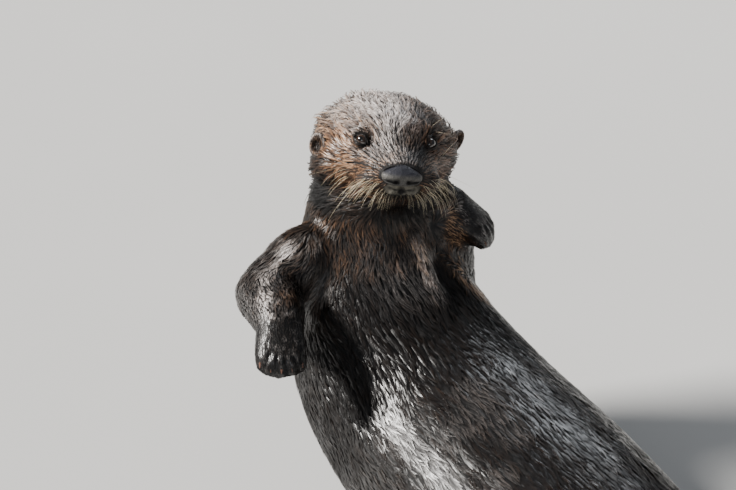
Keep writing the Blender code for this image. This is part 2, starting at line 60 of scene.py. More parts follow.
# ---- the coat, part by part ----
# depth under the coat, tuft length, width and spacing of roots (mm), swirl (degrees), tone and sleekness
COAT = {
    "head": (3.4, 10.0, 1.15, 1.28, 46, 0.33, 0.50),
    "neck": (3.4, 15.0, 1.62, 2.05, 22, 0.10, 0.80),
    "chest": (2.6, 18.0, 2.24, 3.16, 12, 0.02, 0.72),
    "belly": (2.2, 21.0, 2.55, 3.86, 7, 0.03, 1.00),
    "hips": (2.2, 21.0, 2.58, 3.96, 7, 0.04, 1.00),
    "tail": (2.2, 15.0, 2.00, 2.80, 6, 0.05, 1.00),
    "upper_arm": (2.4, 13.0, 1.53, 2.20, 14, 0.06, 0.95),
    "forearm": (2.0, 10.0, 1.42, 2.05, 12, 0.05, 0.95),
    "forepaw": (0.9, 3.6, 0.87, 1.55, 8, 0.03, 1.00),
    "thigh": (2.4, 18.0, 2.34, 3.55, 8, 0.05, 1.00),
    "shank": (2.0, 11.0, 1.50, 2.30, 8, 0.04, 1.00),
    "hind_flipper": (0.8, 4.2, 1.14, 2.60, 5, 0.04, 1.00),
}
COLUMNS = ("depth", "length", "width", "spacing", "swirl", "tone", "sleek")
EAR_COAT = dict(zip(COLUMNS, (0.9 * MM, 3.8 * MM, 0.75 * MM, 1.0 * MM, 25, 0.5, 0.30)))
SKIN_VOXEL, EAR_VOXEL = 4.95 * MM, 0.8 * MM
PATCH = 0.003  # each tuft's patch on the OFBake map
PATCH_FOOT = 0.08  # the share of the patch that lies below the tuft's sides
FLOOR_GAP, TUFT_GAP = 0.3 * MM, 0.15 * MM  # least height of skin and tufts over the floor

# ---- finishes ----
BLACK_BROWN, DEEP_BROWN, WARM_BROWN = (0.0026, 0.0022, 0.0023), (0.026, 0.0165, 0.0115), (0.125, 0.068, 0.038)
# FROST_AND_GLARE: a pale colour for frosted hair and for painted glare and sky reflections on the wet fur
TAN, RUST, FROST_AND_GLARE = (0.52, 0.33, 0.19), (0.27, 0.118, 0.056), (0.84, 0.78, 0.75)
LIP_GREY = (0.040, 0.036, 0.028), (0.175, 0.162, 0.130)
NOSE_FRONT = (0.075, 0.072, 0.064), (0.155, 0.148, 0.132)
# the pad's top is painted darker and bluer than its front, as shade; nostrils and the crevices between
# pebbles are painted near black, as shade
NOSE_TOP_SHADE = (0.012, 0.013, 0.020), (0.036, 0.038, 0.055)
NOSTRIL_SHADE, CREVICE_SHADE = (0.005, 0.0035, 0.003), (0.010, 0.009, 0.011)
IRIS = (0.010, 0.005, 0.003), (0.055, 0.024, 0.010)
PUPIL, EYE_RIM = (0.002, 0.002, 0.002), (0.006, 0.004, 0.004)
CLAW = (0.060, 0.022, 0.013), (0.22, 0.095, 0.055)
IVORY = (0.62, 0.50, 0.30), (0.82, 0.74, 0.56)
# SHADED_THIN_HAIR: painted shade on the thin hairs at the middle of the lip, under the nose
SHADED_THIN_HAIR, HAIR_ROOT = (0.16, 0.13, 0.09), (0.16, 0.11, 0.07)
FLOOR = (0.60, 0.60, 0.59), (0.66, 0.66, 0.65)


# ---- places, read from the solids ----
def centre(name):
    low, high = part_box(name)
    return (low + high) / 2


def spot(name):
    return np.array(centre(name))


NOSE_DROP = 25.2  # degrees that the nose lies below the line of sight, seen from between the eyes
EYE_AHEAD, EYE_ABOVE = 36.3 * MM, 19.4 * MM


def head_axes():
    """4x4 frame of the head: X ahead, Y to its left, Z to its crown, with the origin in its middle."""
    left = (centre("eye_left") - centre("eye_right")).normalized()
    middle = (centre("eye_left") + centre("eye_right")) / 2
    to_nose = centre("nose") - middle
    to_nose = (to_nose - left * to_nose.dot(left)).normalized()
    ahead = (Matrix.Rotation(math.radians(-NOSE_DROP), 3, left) @ to_nose).normalized()
    up = ahead.cross(left)
    axes = Matrix((ahead, left, up)).transposed().to_4x4()
    return Matrix.Translation(middle - ahead * EYE_AHEAD - up * EYE_ABOVE) @ axes


HEAD = head_axes()
HEAD_ARRAY, INTO_HEAD = np.array(HEAD), np.array(HEAD.inverted())
HEAD_TURN = HEAD_ARRAY[:3, :3]
HEAD_AHEAD, HEAD_LEFT, HEAD_UP = HEAD_TURN.T.copy()


def in_head(points):
    """Points of the row frame in the head's own frame, as an array."""
    return points @ INTO_HEAD[:3, :3].T + INTO_HEAD[:3, 3]


def from_head(points):
    return np.asarray(points, float) @ HEAD_TURN.T + HEAD_ARRAY[:3, 3]


def head_spot(x, y, z):
    """A place given in millimetres in the head's frame."""
    return from_head([(x * MM, y * MM, z * MM)])[0]


def head_path(places, sign):
    """A path given in millimetres in the head's frame, on its left or, with sign -1, on its right."""
    return from_head([(x * MM, sign * y * MM, z * MM) for x, y, z in places])


# ---- arithmetic on many points ----
def unit(vectors):
    return vectors / np.maximum(np.linalg.norm(vectors, axis=-1, keepdims=True), 1e-9)


def away_from(points, place):
    return np.linalg.norm(points - np.asarray(place), axis=1)


def smoothstep(low, high, x):
    """0 at low and 1 at high, with a smooth rise between. Where low is above high, it falls."""
    t = np.clip((x - low) / (high - low), 0, 1)
    return t * t * (3 - 2 * t)


def bump(x, width):
    """1 at 0, falling smoothly to 0.6 at one width and to nothing at three."""
    return np.exp(-0.5 * (x / width) ** 2)


def hashed(cells, seed):
    """A repeatable number from 0 to 1 for each row of whole numbers."""
    h = cells @ np.array([374761393, 668265263, 1442695041]) + seed * 1274126177
    h = (h ^ (h >> 13)) & 0x7FFFFFFF
    h = (h * 1103515245 + 12345) & 0x7FFFFFFF
    h = (h ^ (h >> 11)) * 69069 & 0x7FFFFFFF
    return (h % 1000003) / 1000003.0


def cloud(points, size, seed):
    """Smooth noise from -1 to 1 whose lumps are about size across."""
    scaled = points / size
    cell = np.floor(scaled).astype(np.int64)
    part = scaled - cell
    part = part * part * (3 - 2 * part)
    total = np.zeros(len(points))
    for corner in np.ndindex(2, 2, 2):
        step = np.array(corner[::-1])
        total += np.prod(np.where(step, part, 1 - part), axis=1) * hashed(cell + step, seed)
    return total * 2 - 1


def blotches(points, size, seed, low, high):
    """The lumps of a cloud above low, at full strength from high."""
    return smoothstep(low, high, cloud(points, size, seed))


def spread_sum(indices, values, count):
    """Adds each row of values to the place that its index names."""
    columns = values.reshape(len(values), -1).T
    total = np.stack([np.bincount(indices, weights=column, minlength=count) for column in columns], 1)
    return total.reshape(count, *values.shape[1:])


def neighbour_mean(values, edges):
    a, b = edges.T
    total = spread_sum(a, values[b], len(values)) + spread_sum(b, values[a], len(values))
    number = np.maximum(np.bincount(edges.ravel(), minlength=len(values)), 1)
    return total / (number[:, None] if values.ndim > 1 else number)


def relax(co, edges, passes, weight):
    """Smooths points along their edges. A slightly larger step outwards follows each, to keep the volume."""
    weight = np.broadcast_to(weight, len(co))[:, None]
    for _ in range(passes):
        for step in (0.5, -0.52):
            co = co + step * weight * (neighbour_mean(co, edges) - co)
    return co


def soften_values(values, edges, passes):
    for _ in range(passes):
        values = 0.5 * values + 0.5 * neighbour_mean(values, edges)
    return values


def face_crosses(co, tris):
    """Each triangle's normal, as long as twice its area."""
    a, b, c = co[tris].transpose(1, 0, 2)
    return np.cross(b - a, c - a)


def point_normals(co, tris):
    faces = face_crosses(co, tris)
    return unit(sum(spread_sum(tris[:, k], faces, len(co)) for k in range(3)))


def off_path(points, path):
    """How far each point lies from a path of straight runs."""
    best = np.full(len(points), 1e9)
    path = np.asarray(path, float)
    for a, b in zip(path, path[1:]):
        along = np.clip(((points - a) @ (b - a)) / ((b - a) @ (b - a)), 0, 1)
        best = np.minimum(best, away_from(points - a, along[:, None] * (b - a)))
    return best


# ---- meshes and objects ----
def read(items, field, width, kind=np.int64):
    values = np.empty(len(items) * width, kind)
    items.foreach_get(field, values)
    return values.reshape(-1, width)


def write(items, field, values, kind=np.float32):
    items.foreach_set(field, np.ascontiguousarray(values, kind).ravel())


def mesh_arrays(mesh):
    """Points, triangles and edges of a mesh."""
    mesh.calc_loop_triangles()
    faces = read(mesh.loop_triangles, "vertices", 3)
    return read(mesh.vertices, "co", 3, float), faces, read(mesh.edges, "vertices", 2)


def solid_arrays(name):
    return mesh_arrays(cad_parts[name].data)


def set_points(mesh, co):
    write(mesh.vertices, "co", co)
    mesh.update()


def write_colour(mesh, name, values):
    rgba = np.ones((len(mesh.vertices), 4), np.float32)
    rgba[:, : values.shape[1]] = values
    write(mesh.attributes.new(name, "FLOAT_COLOR", "POINT").data, "color", rgba)


def write_number(mesh, name, values):
    write(mesh.attributes.new(name, "FLOAT", "POINT").data, "value", values)


def new_object(name, data):
    obj = bpy.data.objects.new(name, data)
    bpy.context.scene.collection.objects.link(obj)
    return obj


def mesh_from(bm, name):
    mesh = bpy.data.meshes.new(name)
    bm.to_mesh(mesh)
    bm.free()
    return mesh


def ball(name, segments, rings, radius, place):
    """A ball whose poles lie on the X axis of place."""
    bm = bmesh.new()
    place = place @ Matrix.Rotation(math.pi / 2, 4, "Y")
    bmesh.ops.create_uvsphere(bm, u_segments=segments, v_segments=rings, radius=radius, matrix=place)
    return mesh_from(bm, name)


def apply_modifiers(obj):
    graph = bpy.context.evaluated_depsgraph_get()
    mesh = bpy.data.meshes.new_from_object(obj.evaluated_get(graph))
    obj.modifiers.clear()
    obj.data = mesh


def remesh(obj, voxel):
    weld = obj.modifiers.new("weld", "REMESH")
    weld.mode = "VOXEL"
    weld.voxel_size = voxel
    apply_modifiers(obj)


def shade(obj, mat):
    obj.data.materials.clear()
    obj.data.materials.append(mat)
    obj.data.shade_smooth()


# ---- shader node groups and materials ----
def feed(tree, made, inputs):
    """Gives a node its inputs by name or number: a socket is linked, and anything else is set."""
    for key, value in inputs.items():
        if isinstance(value, bpy.types.NodeSocket):
            tree.links.new(value, made.inputs[key])
        else:
            made.inputs[key].default_value = value
    return made


def node(tree, kind, inputs=None, **settings):
    made = tree.nodes.new(kind)
    for key, value in settings.items():
        setattr(made, key, value)
    return feed(tree, made, inputs or {})


SOCKETS = {"Vector": "NodeSocketVector", "Markings": "NodeSocketColor", "Color": "NodeSocketColor"}


def shader_group(name, inputs, outputs):
    """An empty group: its tree, what it is given and its end. Sockets not named in SOCKETS are floats."""
    tree = bpy.data.node_groups.new(name, "ShaderNodeTree")
    for in_out, sockets in (("INPUT", inputs), ("OUTPUT", dict.fromkeys(outputs))):
        for socket, value in sockets.items():
            kind = SOCKETS.get(socket, "NodeSocketFloat")
            made = tree.interface.new_socket(socket, in_out=in_out, socket_type=kind)
            if value is not None:
                made.default_value = value
    return tree, tree.nodes.new("NodeGroupInput").outputs, tree.nodes.new("NodeGroupOutput")


def mixed(tree, factor, a, b, blend="MIX"):
    """A mix of two colours, each a socket or three numbers."""
    a, b = [(*value, 1) if isinstance(value, tuple) else value for value in (a, b)]
    return node(tree, "ShaderNodeMix", {0: factor, 6: a, 7: b}, data_type="RGBA", blend_type=blend).outputs[2]


def arithmetic(tree, operation, a, b, clamp=False):
    return node(tree, "ShaderNodeMath", {0: a, 1: b}, operation=operation, use_clamp=clamp).outputs[0]


def product(tree, a, b, clamp=False):
    return arithmetic(tree, "MULTIPLY", a, b, clamp)


def scaled(tree, value, low=0.0, high=1.0, new_low=0.0, new_high=1.0):
    """A value carried from one range to another and held inside it."""
    return node(tree, "ShaderNodeMapRange", {0: value, 1: low, 2: high, 3: new_low, 4: new_high}).outputs[0]


def noise_at(tree, vector, scale, detail=3.0, roughness=0.55):
    given = {"Vector": vector, "Scale": scale, "Detail": detail, "Roughness": roughness}
    return node(tree, "ShaderNodeTexNoise", given).outputs["Fac"]


def cells_at(tree, vector, scale):
    return node(tree, "ShaderNodeTexVoronoi", {"Vector": vector, "Scale": scale}).outputs["Distance"]


def stretched(tree, vector, scale):
    return node(tree, "ShaderNodeMapping", {"Vector": vector, "Scale": scale}).outputs[0]


def channels(tree, colour):
    return node(tree, "ShaderNodeSeparateColor", {0: colour}).outputs


def attribute(tree, name):
    return node(tree, "ShaderNodeAttribute", attribute_name=name).outputs


def coat_colour_group():
    """Fur colour from the markings that skin and tufts share: tone, frost with painted glare, and rust, with
    fine variation.
    """
    inputs = {"Vector": None, "Markings": None, "Tip": 0.0, "Tone": 0.12}
    tree, given, out = shader_group("coat_colour", inputs, ("Color", "Fine"))
    marks = channels(tree, given["Markings"])
    coarse = noise_at(tree, given["Vector"], 55.0)
    fine = noise_at(tree, given["Vector"], 420.0, 2.0)
    tone = product(tree, marks[0], scaled(tree, coarse, 0.3, 0.7, 0.65, 1.35))
    uneven = scaled(tree, arithmetic(tree, "POWER", given["Tone"], 3.0), 0.0, 1.0, 0.05, 3.8)
    tone = product(tree, tone, uneven)
    # tips lighter than roots: the fur's own paler tips, with painted shade deep at the roots
    tone = product(tree, tone, scaled(tree, given["Tip"], 0.0, 1.0, 0.30, 1.35), clamp=True)
    ramp = node(tree, "ShaderNodeValToRGB", {0: tone})
    stops = ramp.color_ramp.elements
    stops[0].color, stops[1].color = (*BLACK_BROWN, 1), (*TAN, 1)
    for place, colour in ((0.12, DEEP_BROWN), (0.45, WARM_BROWN)):
        stops.new(place).color = (*colour, 1)
    rust = mixed(tree, product(tree, marks[2], tone), ramp.outputs[0], RUST)
    # painted glints: frost and painted glare show most on the tips of bright tufts
    painted_glints = scaled(tree, product(tree, given["Tip"], given["Tone"]), 0.08, 0.46, 0.02, 1.0)
    frost_and_glare = product(tree, product(tree, marks[1], painted_glints), scaled(tree, fine, 0.3, 0.6, 0.45, 1))
    shadow = scaled(tree, fine, 0.25, 0.75, 0.75, 1.12)
    grey = node(tree, "ShaderNodeCombineColor", {0: shadow, 1: shadow, 2: shadow}).outputs[0]
    colour = mixed(tree, 1.0, mixed(tree, frost_and_glare, rust, FROST_AND_GLARE), grey, "MULTIPLY")
    feed(tree, out, {"Color": colour, "Fine": fine})
    return tree


def wet_sheen_group():
    """Where the water stands on the fur: broad streaks with drops in them, and how rough the fur is there."""
    inputs = {"Vector": None, "Sleek": 0.6, "Tone": 0.5, "Dry": 0.58, "Wet": 0.35}
    tree, given, out = shader_group("wet_sheen", inputs, ("Mask", "Drops", "Roughness"))
    streak = noise_at(tree, given["Vector"], 26.0, 4.0, 0.6)
    mask = product(tree, scaled(tree, streak, 0.36, 0.60, 0.25, 1.0), given["Sleek"])
    bead = scaled(tree, cells_at(tree, given["Vector"], 430.0), 0.10, 0.34, 1.0, 0.0)
    rough = scaled(tree, mask, 0.0, 1.0, given["Dry"], given["Wet"])
    rough = product(tree, rough, scaled(tree, given["Tone"], 0.1, 0.9, 1.20, 0.62))
    feed(tree, out, {"Mask": mask, "Drops": product(tree, bead, mask), "Roughness": rough})
    return tree


def leather_group():
    """Pebbled bare skin: cells with rounded tops, and their edges as a mask."""
    tree, given, out = shader_group("pebbled_skin", {"Vector": None, "Scale": 900.0}, ("Height", "Edge"))
    height = scaled(tree, cells_at(tree, given["Vector"], given["Scale"]), 0.1, 0.7, 1.0, 0.0)
    feed(tree, out, {"Height": height, "Edge": arithmetic(tree, "SUBTRACT", 1.0, height, clamp=True)})
    return tree


def new_material(name, **sockets):
    """A Principled material. Its tree, its shader and its Object coordinates."""
    mat = bpy.data.materials.new(name)
    mat.use_nodes = True
    tree = mat.node_tree
    shader = tree.nodes["Principled BSDF"]
    feed(tree, shader, {key.replace("_", " "): value for key, value in sockets.items()})
    return mat, tree, shader, node(tree, "ShaderNodeTexCoord").outputs["Object"]


def add_bump(tree, shader, height, distance, strength):
    made = node(tree, "ShaderNodeBump", {"Height": height, "Distance": distance, "Strength": strength})
    feed(tree, shader, {"Normal": made.outputs["Normal"]})


def fur_material(name, tuft):
    """Wet fur. The skin's has bump streaks under the tufts, and the tufts' reads each tuft's tip and tone."""
    mat, tree, shader, place = new_material(name, Coat_Roughness=0.24, Coat_IOR=1.45, Specular_IOR_Level=0.28)
    marks = attribute(tree, "markings")
    parts = channels(tree, attribute(tree, "tuft")["Color"])
    given = {"Vector": place, "Markings": marks["Color"], "Tip": parts[0], "Tone": parts[1]}
    colour = node(tree, "ShaderNodeGroup", given, node_tree=COAT_COLOUR).outputs
    given = {"Vector": place, "Sleek": marks["Alpha"], "Tone": parts[1]}
    wet = node(tree, "ShaderNodeGroup", given, node_tree=WET_SHEEN).outputs
    painted = colour["Color"]
    if tuft:
        add_bump(tree, shader, arithmetic(tree, "ADD", colour["Fine"], wet["Drops"]), 0.0006, 0.40)
    else:
        worn = scaled(tree, noise_at(tree, place, 260.0, 4.0), 0.32, 0.68)
        painted = mixed(tree, parts[2], painted, mixed(tree, worn, *LIP_GREY))
        streaks = stretched(tree, place, (1.0, 0.16, 1.0))
        hair, lumps = noise_at(tree, streaks, 620.0, 4.0, 0.65), noise_at(tree, streaks, 120.0, 3.0)
        height = arithmetic(tree, "ADD", product(tree, hair, 0.5), lumps)
        height = arithmetic(tree, "ADD", height, product(tree, wet["Drops"], 0.5))
        add_bump(tree, shader, height, 0.0016, 0.55)
    feed(tree, shader, {"Base Color": painted, "Roughness": wet["Roughness"], "Coat Weight": wet["Mask"]})
    return mat


def nose_material():
    """Grey leather, with painted shade on its top, in the nostrils and between its pebbles. Top and nostrils
    are the nose attribute's two channels.
    """
    mat, tree, shader, place = new_material("wet_nose_leather", Coat_Weight=0.12, Coat_Roughness=0.25)
    leather = node(tree, "ShaderNodeGroup", {"Vector": place, "Scale": 820.0}, node_tree=LEATHER).outputs
    worn = noise_at(tree, place, 90.0)
    shape = channels(tree, attribute(tree, "nose")[0])
    dark = mixed(tree, shape[0], mixed(tree, worn, *NOSE_FRONT), mixed(tree, worn, *NOSE_TOP_SHADE))
    dark = mixed(tree, shape[1], dark, NOSTRIL_SHADE)
    colour = mixed(tree, product(tree, leather["Edge"], 0.45), dark, CREVICE_SHADE)
    feed(tree, shader, {"Base Color": colour, "Roughness": scaled(tree, worn, 0.3, 0.7, 0.42, 0.62)})
    add_bump(tree, shader, leather["Height"], 0.0005, 0.55)
    return mat


def eye_material():
    """Dark brown iris round a black pupil under a wet cornea. The iris attribute grows from the pupil out."""
    wet = {"Roughness": 0.07, "Coat_Weight": 1.0, "Coat_Roughness": 0.02, "Specular_IOR_Level": 0.7}
    mat, tree, shader, place = new_material("dark_wet_eye", **wet)
    ring = attribute(tree, "iris")["Fac"]
    iris = mixed(tree, noise_at(tree, place, 900.0, 4.0), *IRIS)
    colour = mixed(tree, scaled(tree, ring, 0.30, 0.38), PUPIL, iris)
    feed(tree, shader, {"Base Color": mixed(tree, scaled(tree, ring, 0.62, 0.80), colour, EYE_RIM)})
    return mat


def claw_material():
    mat, tree, shader, place = new_material("reddish_brown_horn", Coat_Weight=0.3, Coat_Roughness=0.2)
    grain = noise_at(tree, stretched(tree, place, (1, 1, 0.3)), 900.0)
    rough = scaled(tree, grain, 0, 1, 0.25, 0.5)
    feed(tree, shader, {"Base Color": mixed(tree, grain, *CLAW), "Roughness": rough})
    add_bump(tree, shader, grain, 0.0002, 0.4)
    return mat


def whisker_material():
    """Ivory hair, darker at its root, and darker where it is thin: the thin hairs at the middle of the lip
    get painted shade.
    """
    settings = {"Roughness": 0.34, "Coat_Weight": 0.25, "Coat_Roughness": 0.2}
    mat, tree, shader, place = new_material("ivory_whisker", **settings)
    root = scaled(tree, attribute(tree, "along")["Fac"], 0.0, 0.12)
    thin = scaled(tree, attribute(tree, "thickness")["Fac"], 0.60, 0.95, 0.35, 1.0)
    ivory = mixed(tree, thin, SHADED_THIN_HAIR, mixed(tree, noise_at(tree, place, 160.0), *IVORY))
    feed(tree, shader, {"Base Color": mixed(tree, root, HAIR_ROOT, ivory)})
    return mat


def floor_material():
    mat, tree, shader, place = new_material("pale_floor", Roughness=0.75)
    feed(tree, shader, {"Base Color": mixed(tree, noise_at(tree, place, 2.2), *FLOOR)})
    return mat


COAT_COLOUR, WET_SHEEN, LEATHER = coat_colour_group(), wet_sheen_group(), leather_group()
SKIN_FUR, TUFT_FUR = fur_material("wet_fur_skin", False), fur_material("wet_fur_tufts", True)
NOSE, EYE, HORN, WHISKER = nose_material(), eye_material(), claw_material(), whisker_material()


# ---- the skin ----
def welded_copy(names, grow):
    """A mesh of the named CAD solids, each grown by a thin layer so that they run into each other."""
    bm = bmesh.new()
    for name in names:
        part = bmesh.new()
        part.from_mesh(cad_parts[name].data)
        bmesh.ops.remove_doubles(part, verts=part.verts, dist=1e-6)
        part.normal_update()
        for vert, shift in [(vert, vert.normal * grow) for vert in part.verts]:
            vert.co += shift
        bm.from_mesh(mesh_from(part, "lump"))
    return mesh_from(bm, "skin")


def unwrap(obj):
    """Lays the skin out flat, by the way its faces look, on the map named OFBake."""
    obj.data.uv_layers.new(name="OFBake")
    bpy.context.view_layer.objects.active = obj
    obj.select_set(True)
    bpy.ops.object.mode_set(mode="EDIT")
    bpy.ops.mesh.select_all(action="SELECT")
    bpy.ops.uv.smart_project(angle_limit=math.radians(70), island_margin=0.002)
    bpy.ops.object.mode_set(mode="OBJECT")


def refined(mesh, chosen):
    """Halves the edges whose two points are chosen. The mesh's new arrays."""
    bm = bmesh.new()
    bm.from_mesh(mesh)
    edges = [edge for edge in bm.edges if chosen[edge.verts[0].index] and chosen[edge.verts[1].index]]
    bmesh.ops.subdivide_edges(bm, edges=edges, cuts=1, use_grid_fill=True)
    bm.to_mesh(mesh)
    bm.free()
    return mesh_arrays(mesh)


def near_nodes(co, names, reach):
    """True for points within reach of the middle of a named node."""
    return np.min([away_from(co, spot(name)) for name in names], axis=0) < reach


def nearest_nodes(co):
    """For each point, the name of the CAD solid of flesh that is nearest to it."""
    points, faces, owner = [], [], []
    for name in FLESH_NODES:
        own, tris, _ = solid_arrays(name)
        faces.extend((tris + len(points)).tolist())
        points.extend(own.tolist())
        owner.extend([name] * len(tris))
    tree = BVHTree.FromPolygons(points, faces)
    return np.array([owner[tree.find_nearest(p)[2]] for p in co.tolist()])


def coat_fields(names, edges):
    """The COAT table spread over the skin's points and blended where two parts meet."""
    rows = {name: COAT[name.removesuffix("_left").removesuffix("_right")] for name in FLESH_NODES}
    values = soften_values(np.array([rows[name] for name in names.tolist()]), edges, 14)
    return {key: column * MM if key in COLUMNS[:4] else column for key, column in zip(COLUMNS, values.T)}


def share_of(name, names, edges, passes):
    """1 on a node's points and 0 on the others, blended where they meet."""
    return soften_values((names == name).astype(float), edges, passes)


def face_closeness(local):
    """1 on the short-haired front of the face, and 0 from the crown and cheeks back."""
    return smoothstep(0.030, 0.062, local[:, 0]) * smoothstep(0.062, 0.045, np.abs(local[:, 1]))


EYE_OPENING = (6.4 * MM, 4.5 * MM, 3.8 * MM)  # half width, then height above and below the eye's middle
EYE_SLANT = 33.0  # degrees that the inner corner is lower
LID_POWER = 1.7  # 2 would make the opening an ellipse


def eye_frames(co, normals):
    """Centre, radius, and the outward, leftward and upward axes of each eye."""
    frames = {}
    for side in SIDES:
        low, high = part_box(f"eye_{side}")
        middle = spot(f"eye_{side}")
        out = unit(normals[away_from(co, middle) < 0.013].mean(0))
        up = unit(HEAD_UP - out * (HEAD_UP @ out))
        frames[side] = (middle, (high - low).x / 2, out, np.cross(up, out), up)
    return frames


def eye_measure(co, side, frames):
    """Each point in the eye's frame, and how far out it is: 1 on the almond of the lids' edge."""
    middle, _, out, left, up = frames[side]
    q = co - middle
    turn = math.radians(EYE_SLANT * SIDES[side])
    y0, z0 = q @ left, q @ up
    y = y0 * math.cos(turn) + z0 * math.sin(turn)
    z = -y0 * math.sin(turn) + z0 * math.cos(turn)
    width, above, below = EYE_OPENING
    parts = np.abs(y / width) ** LID_POWER + np.abs(z / np.where(z > 0, above, below)) ** LID_POWER
    return q @ out, y, z, parts ** (1 / LID_POWER), turn


def eye_distance(co, frames):
    """The almond measure of the nearer eye for each point."""
    both = [eye_measure(co, side, frames) for side in SIDES]
    return np.minimum(*[measure + 20 * (x < -0.01) for x, _, _, measure, _ in both])


def open_lids(co, side, frames):
    """Draws the skin over the eyeball as two lids, with an almond opening that shows the eye."""
    middle, radius, out, left, up = frames[side]
    x, y, z, measure, turn = eye_measure(co, side, frames)
    near = (np.hypot(y, z) < 0.016) & (x > -0.012)
    snap = near & (measure > 0.70) & (measure < 1.06)
    scale = np.where(snap, 1.0 / np.maximum(measure, 1e-6), 1.0)
    y, z = y * scale, z * scale
    rim = radius + 0.45 * MM + 0.55 * MM * smoothstep(1.0, 1.35, measure)
    lid_x = np.sqrt(np.maximum(rim**2 - y**2 - z**2, (0.25 * radius) ** 2))
    fade = smoothstep(2.75, 1.35, measure)
    new_x = x * (1 - fade) + np.maximum(lid_x, x) * fade
    new_x = np.where(near & (measure <= 0.70), 0.55 * radius, new_x)
    crease = np.where(z > 0, bump(measure - 1.75, 0.16), 0.7 * bump(measure - 1.85, 0.18))
    new_x = new_x - 0.9 * MM * crease
    y0 = y * math.cos(turn) - z * math.sin(turn)
    z0 = y * math.sin(turn) + z * math.cos(turn)
    moved = middle + new_x[:, None] * out + y0[:, None] * left + z0[:, None] * up
    return np.where(near[:, None], moved, co)


def groove(co, normals, path, width, depth):
    """Presses a smooth groove into the skin along a path of points. A negative depth raises a ridge."""
    return co - normals * (depth * bump(off_path(co, path), width))[:, None]


def swell(co, normals, middle, radius, height):
    return co + normals * (height * bump(away_from(co, middle), radius))[:, None]


# millimetres in the head's frame, for its left side: place or path, radius or width, height or depth
PADS = (((62, 25, -8), 11, 1.8), ((31, 36, 33), 8, 2.0), ((83, 9.5, -17), 3.4, 2.6))  # whisker pad, brow, lip
UNDER_NOSE = ((87, 1, -14), (87, 7, -13.2), (87, 14, -12.2))
LIP_LINE = ((86, 0, -20), (84, 5, -21.5), (80, 12, -22), (73, 20, -21.5), (63, 29, -19), (50, 37, -15))
CHEEK_FOLD = ((56, 12, 16), (66, 17, 10), (70, 24, 2), (64, 34, -1), (52, 43, -4))
FACE_GROOVES = ((UNDER_NOSE, 1.1, 2.0), (LIP_LINE, 1.5, 3.6), (CHEEK_FOLD, 4.5, 1.5))
BETWEEN_LIPS = ((87, 0, -13), (85, 0, -18))
NOSE_SHIFT = np.array([0.0, -2.6, 1.2]) * MM  # from the solid's middle to the pad's, in the head's frame


def nose_box():
    """Middle and half size of the nose pad in the head's frame."""
    local = in_head(solid_arrays("nose")[0])
    return (local.min(0) + local.max(0)) / 2 + NOSE_SHIFT, (local.max(0) - local.min(0)) / 2


def nose_reach(local):
    """How far out a point of the head is from the middle of the nose pad: 1 on its edge."""
    middle, half = nose_box()
    return np.linalg.norm((local - middle) / (half * np.array([1.6, 1.0, 1.0])), axis=1)


def carve_face(co, edges, tris, frames):
    """Lids, brows, lips, whisker pads and the folds of the cheeks."""
    normals = point_normals(co, tris)
    for sign in SIDES.values():
        for (x, y, z), radius, height in PADS:
            co = swell(co, normals, head_spot(x, sign * y, z), radius * MM, height * MM)
        for path, width, depth in FACE_GROOVES:
            co = groove(co, normals, head_path(path, sign), width * MM, depth * MM)
    co = groove(co, normals, head_path(BETWEEN_LIPS, 1), 2.8 * MM, 4.8 * MM)
    sunk = smoothstep(0.92, 0.70, nose_reach(in_head(co)))
    co = co - HEAD_AHEAD * (9 * MM * sunk)[:, None]
    for side in SIDES:
        co = open_lids(co, side, frames)
    return co


# for each paw's toes: width and depth of the grooves between them (mm), and how far back they run
TOES = {"forepaw": (1.6, 1.1, 0.28), "hind_flipper": (3.2, 2.2, 1.3)}


def shape_toes(co, normals, kind, side, mine):
    """Raises a ridge along each toe and presses grooves between them, over the upper side of one paw."""
    width, depth, back = TOES[kind]
    width, depth = width * MM, depth * MM
    root = spot(f"{kind}_{side}")
    claws = np.array([spot(f"claw_{kind[:4]}_{side}_{n}") for n in range(1, 6)])
    up = unit(np.cross(claws[4] - claws[0], claws[2] - root))
    up = up * np.sign(up[2])
    flat, tips = co - np.outer((co - root) @ up, up), claws - np.outer((claws - root) @ up, up)
    over = mine * smoothstep(-0.35, 0.25, normals @ up)
    moved = np.zeros(len(co))
    for tip in tips:
        moved += 0.45 * depth * bump(off_path(flat, [tip, tip + (root - tip) * back]), 1.3 * width) * over
    for a, b in zip(tips, tips[1:]):
        gap = (a + b) / 2
        path = [gap + unit(gap - root) * 14 * MM, gap + (root - gap) * back]
        moved -= depth * bump(off_path(flat, path), width) * over
    for claw in claws:
        moved += 1.2 * MM * bump(np.linalg.norm(co - claw + up * 4.0 * MM, axis=1), 3.5 * MM)
        moved -= 1.3 * MM * bump(away_from(co, claw), 2.6 * MM)
    return co + normals * moved[:, None]


# loose skin at the left of the chest, the hollow beside it, and the full side of the neck
LOOSE_FOLD = ((0.029, 0.391, 0.280), (0.033, 0.377, 0.263), (0.032, 0.366, 0.252), (0.030, 0.350, 0.240))
FOLD_HOLLOW = ((0.046, 0.374, 0.252), (0.046, 0.361, 0.243), (0.049, 0.349, 0.235))
NECK_SIDE = (((-0.042, 0.463, 0.334), 6.0), ((-0.046, 0.472, 0.306), 5.0))
# height from the middle of the neck, and half width
THROAT_FOLDS = ((-0.006, 0.052), (-0.024, 0.060), (-0.043, 0.050))


